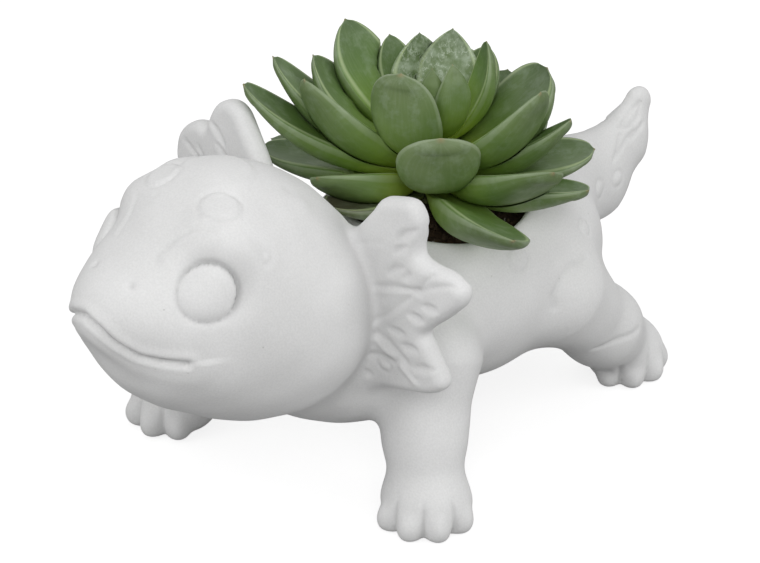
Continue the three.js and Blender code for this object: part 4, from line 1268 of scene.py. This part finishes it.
leaves = rosette()
for i, leaf in enumerate(leaves):
    inner = "inner" in leaf.name
    points, faces, values = leaf_mesh(leaf, leaves[i + 1:], i)
    made = mesh_object("dressed_" + leaf.name, points, faces, inner_green if inner else leaf_green, "plant",
                       "inner_leaf" if inner else "leaf", values)
    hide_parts(leaf.name)

heart_points, heart_faces, heart_values = heart_mesh()
heart = mesh_object("bud", heart_points, heart_faces, inner_green, "plant", "inner_leaf", heart_values)
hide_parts("rosette_heart")


# Stage

def floor_material():
    n = Nodes("floor", 0.9, Specular_IOR_Level=0.1)
    n.shader.inputs["Base Color"].default_value = (0.36, 0.36, 0.36, 1)
    seen = n.add("ShaderNodeLightPath").outputs["Is Camera Ray"]
    n.shader.inputs["Emission Color"].default_value = (1, 1, 1, 1)
    n.tree.links.new(n.times(seen, FLOOR_LIFT), n.shader.inputs["Emission Strength"])
    return n.material


floor_mesh = bpy.data.meshes.new("floor")
far = 6.0
floor_mesh.from_pydata([(-far, -far, 0), (far, -far, 0), (far, far, 0), (-far, far, 0)], [], [(0, 1, 2, 3)])
floor_mesh.materials.append(floor_material())
floor = new_object("floor", floor_mesh)


def studio_world():
    """White where the camera, a reflection or a refraction sees it, and a softer light on everything else."""
    world = bpy.data.worlds.new("studio")
    world.use_nodes = True
    tree = world.node_tree
    tree.nodes.clear()
    paths = tree.nodes.new("ShaderNodeLightPath")
    seen = paths.outputs["Is Camera Ray"]
    for ray in ("Is Glossy Ray", "Is Transmission Ray"):
        either = tree.nodes.new("ShaderNodeMath")
        either.operation = "MAXIMUM"
        tree.links.new(seen, either.inputs[0])
        tree.links.new(paths.outputs[ray], either.inputs[1])
        seen = either.outputs[0]
    mixed = tree.nodes.new("ShaderNodeMixShader")
    tree.links.new(seen, mixed.inputs[0])
    for socket, strength in ((1, AMBIENT), (2, 1)):
        light = tree.nodes.new("ShaderNodeBackground")
        light.inputs["Color"].default_value = (1, 1, 1, 1)
        light.inputs["Strength"].default_value = strength
        tree.links.new(light.outputs[0], mixed.inputs[socket])
    output = tree.nodes.new("ShaderNodeOutputWorld")
    tree.links.new(mixed.outputs[0], output.inputs["Surface"])
    return world


bpy.context.scene.world = studio_world()


def area_lamp(name, place, aim, size, power):
    lamp = bpy.data.lights.new(name, "AREA")
    lamp.shape = "DISK"
    lamp.size = size
    lamp.energy = power
    made = new_object(name, lamp)
    made.location = place
    made.rotation_euler = (Vector(aim) - Vector(place)).to_track_quat("-Z", "Y").to_euler()


for lamp in LAMPS:
    area_lamp(*lamp)


# Camera: azimuth 0 looks along +Y and turns towards the animal's left

camera = new_object("camera", bpy.data.cameras.new("camera"))
azimuth, elevation = (math.radians(angle) for angle in VIEW_ANGLES)
level = math.cos(elevation)
back = Vector((math.sin(azimuth) * level, -math.cos(azimuth) * level, math.sin(elevation)))
target = (Vector(VIEW_TARGET) + Vector(AXIS)) * 0.001
camera.location = target + back * VIEW_DISTANCE * 0.001
camera.rotation_euler = (-back).to_track_quat("-Z", "Y").to_euler()
camera.data.sensor_width = SENSOR_WIDTH
camera.data.lens = SENSOR_WIDTH * VIEW_FOCUS / PICTURE_WIDTH
camera.data.clip_start = 0.01
camera.data.clip_end = 50
bpy.context.scene.camera = camera
bpy.context.scene.view_settings.view_transform = "Standard"
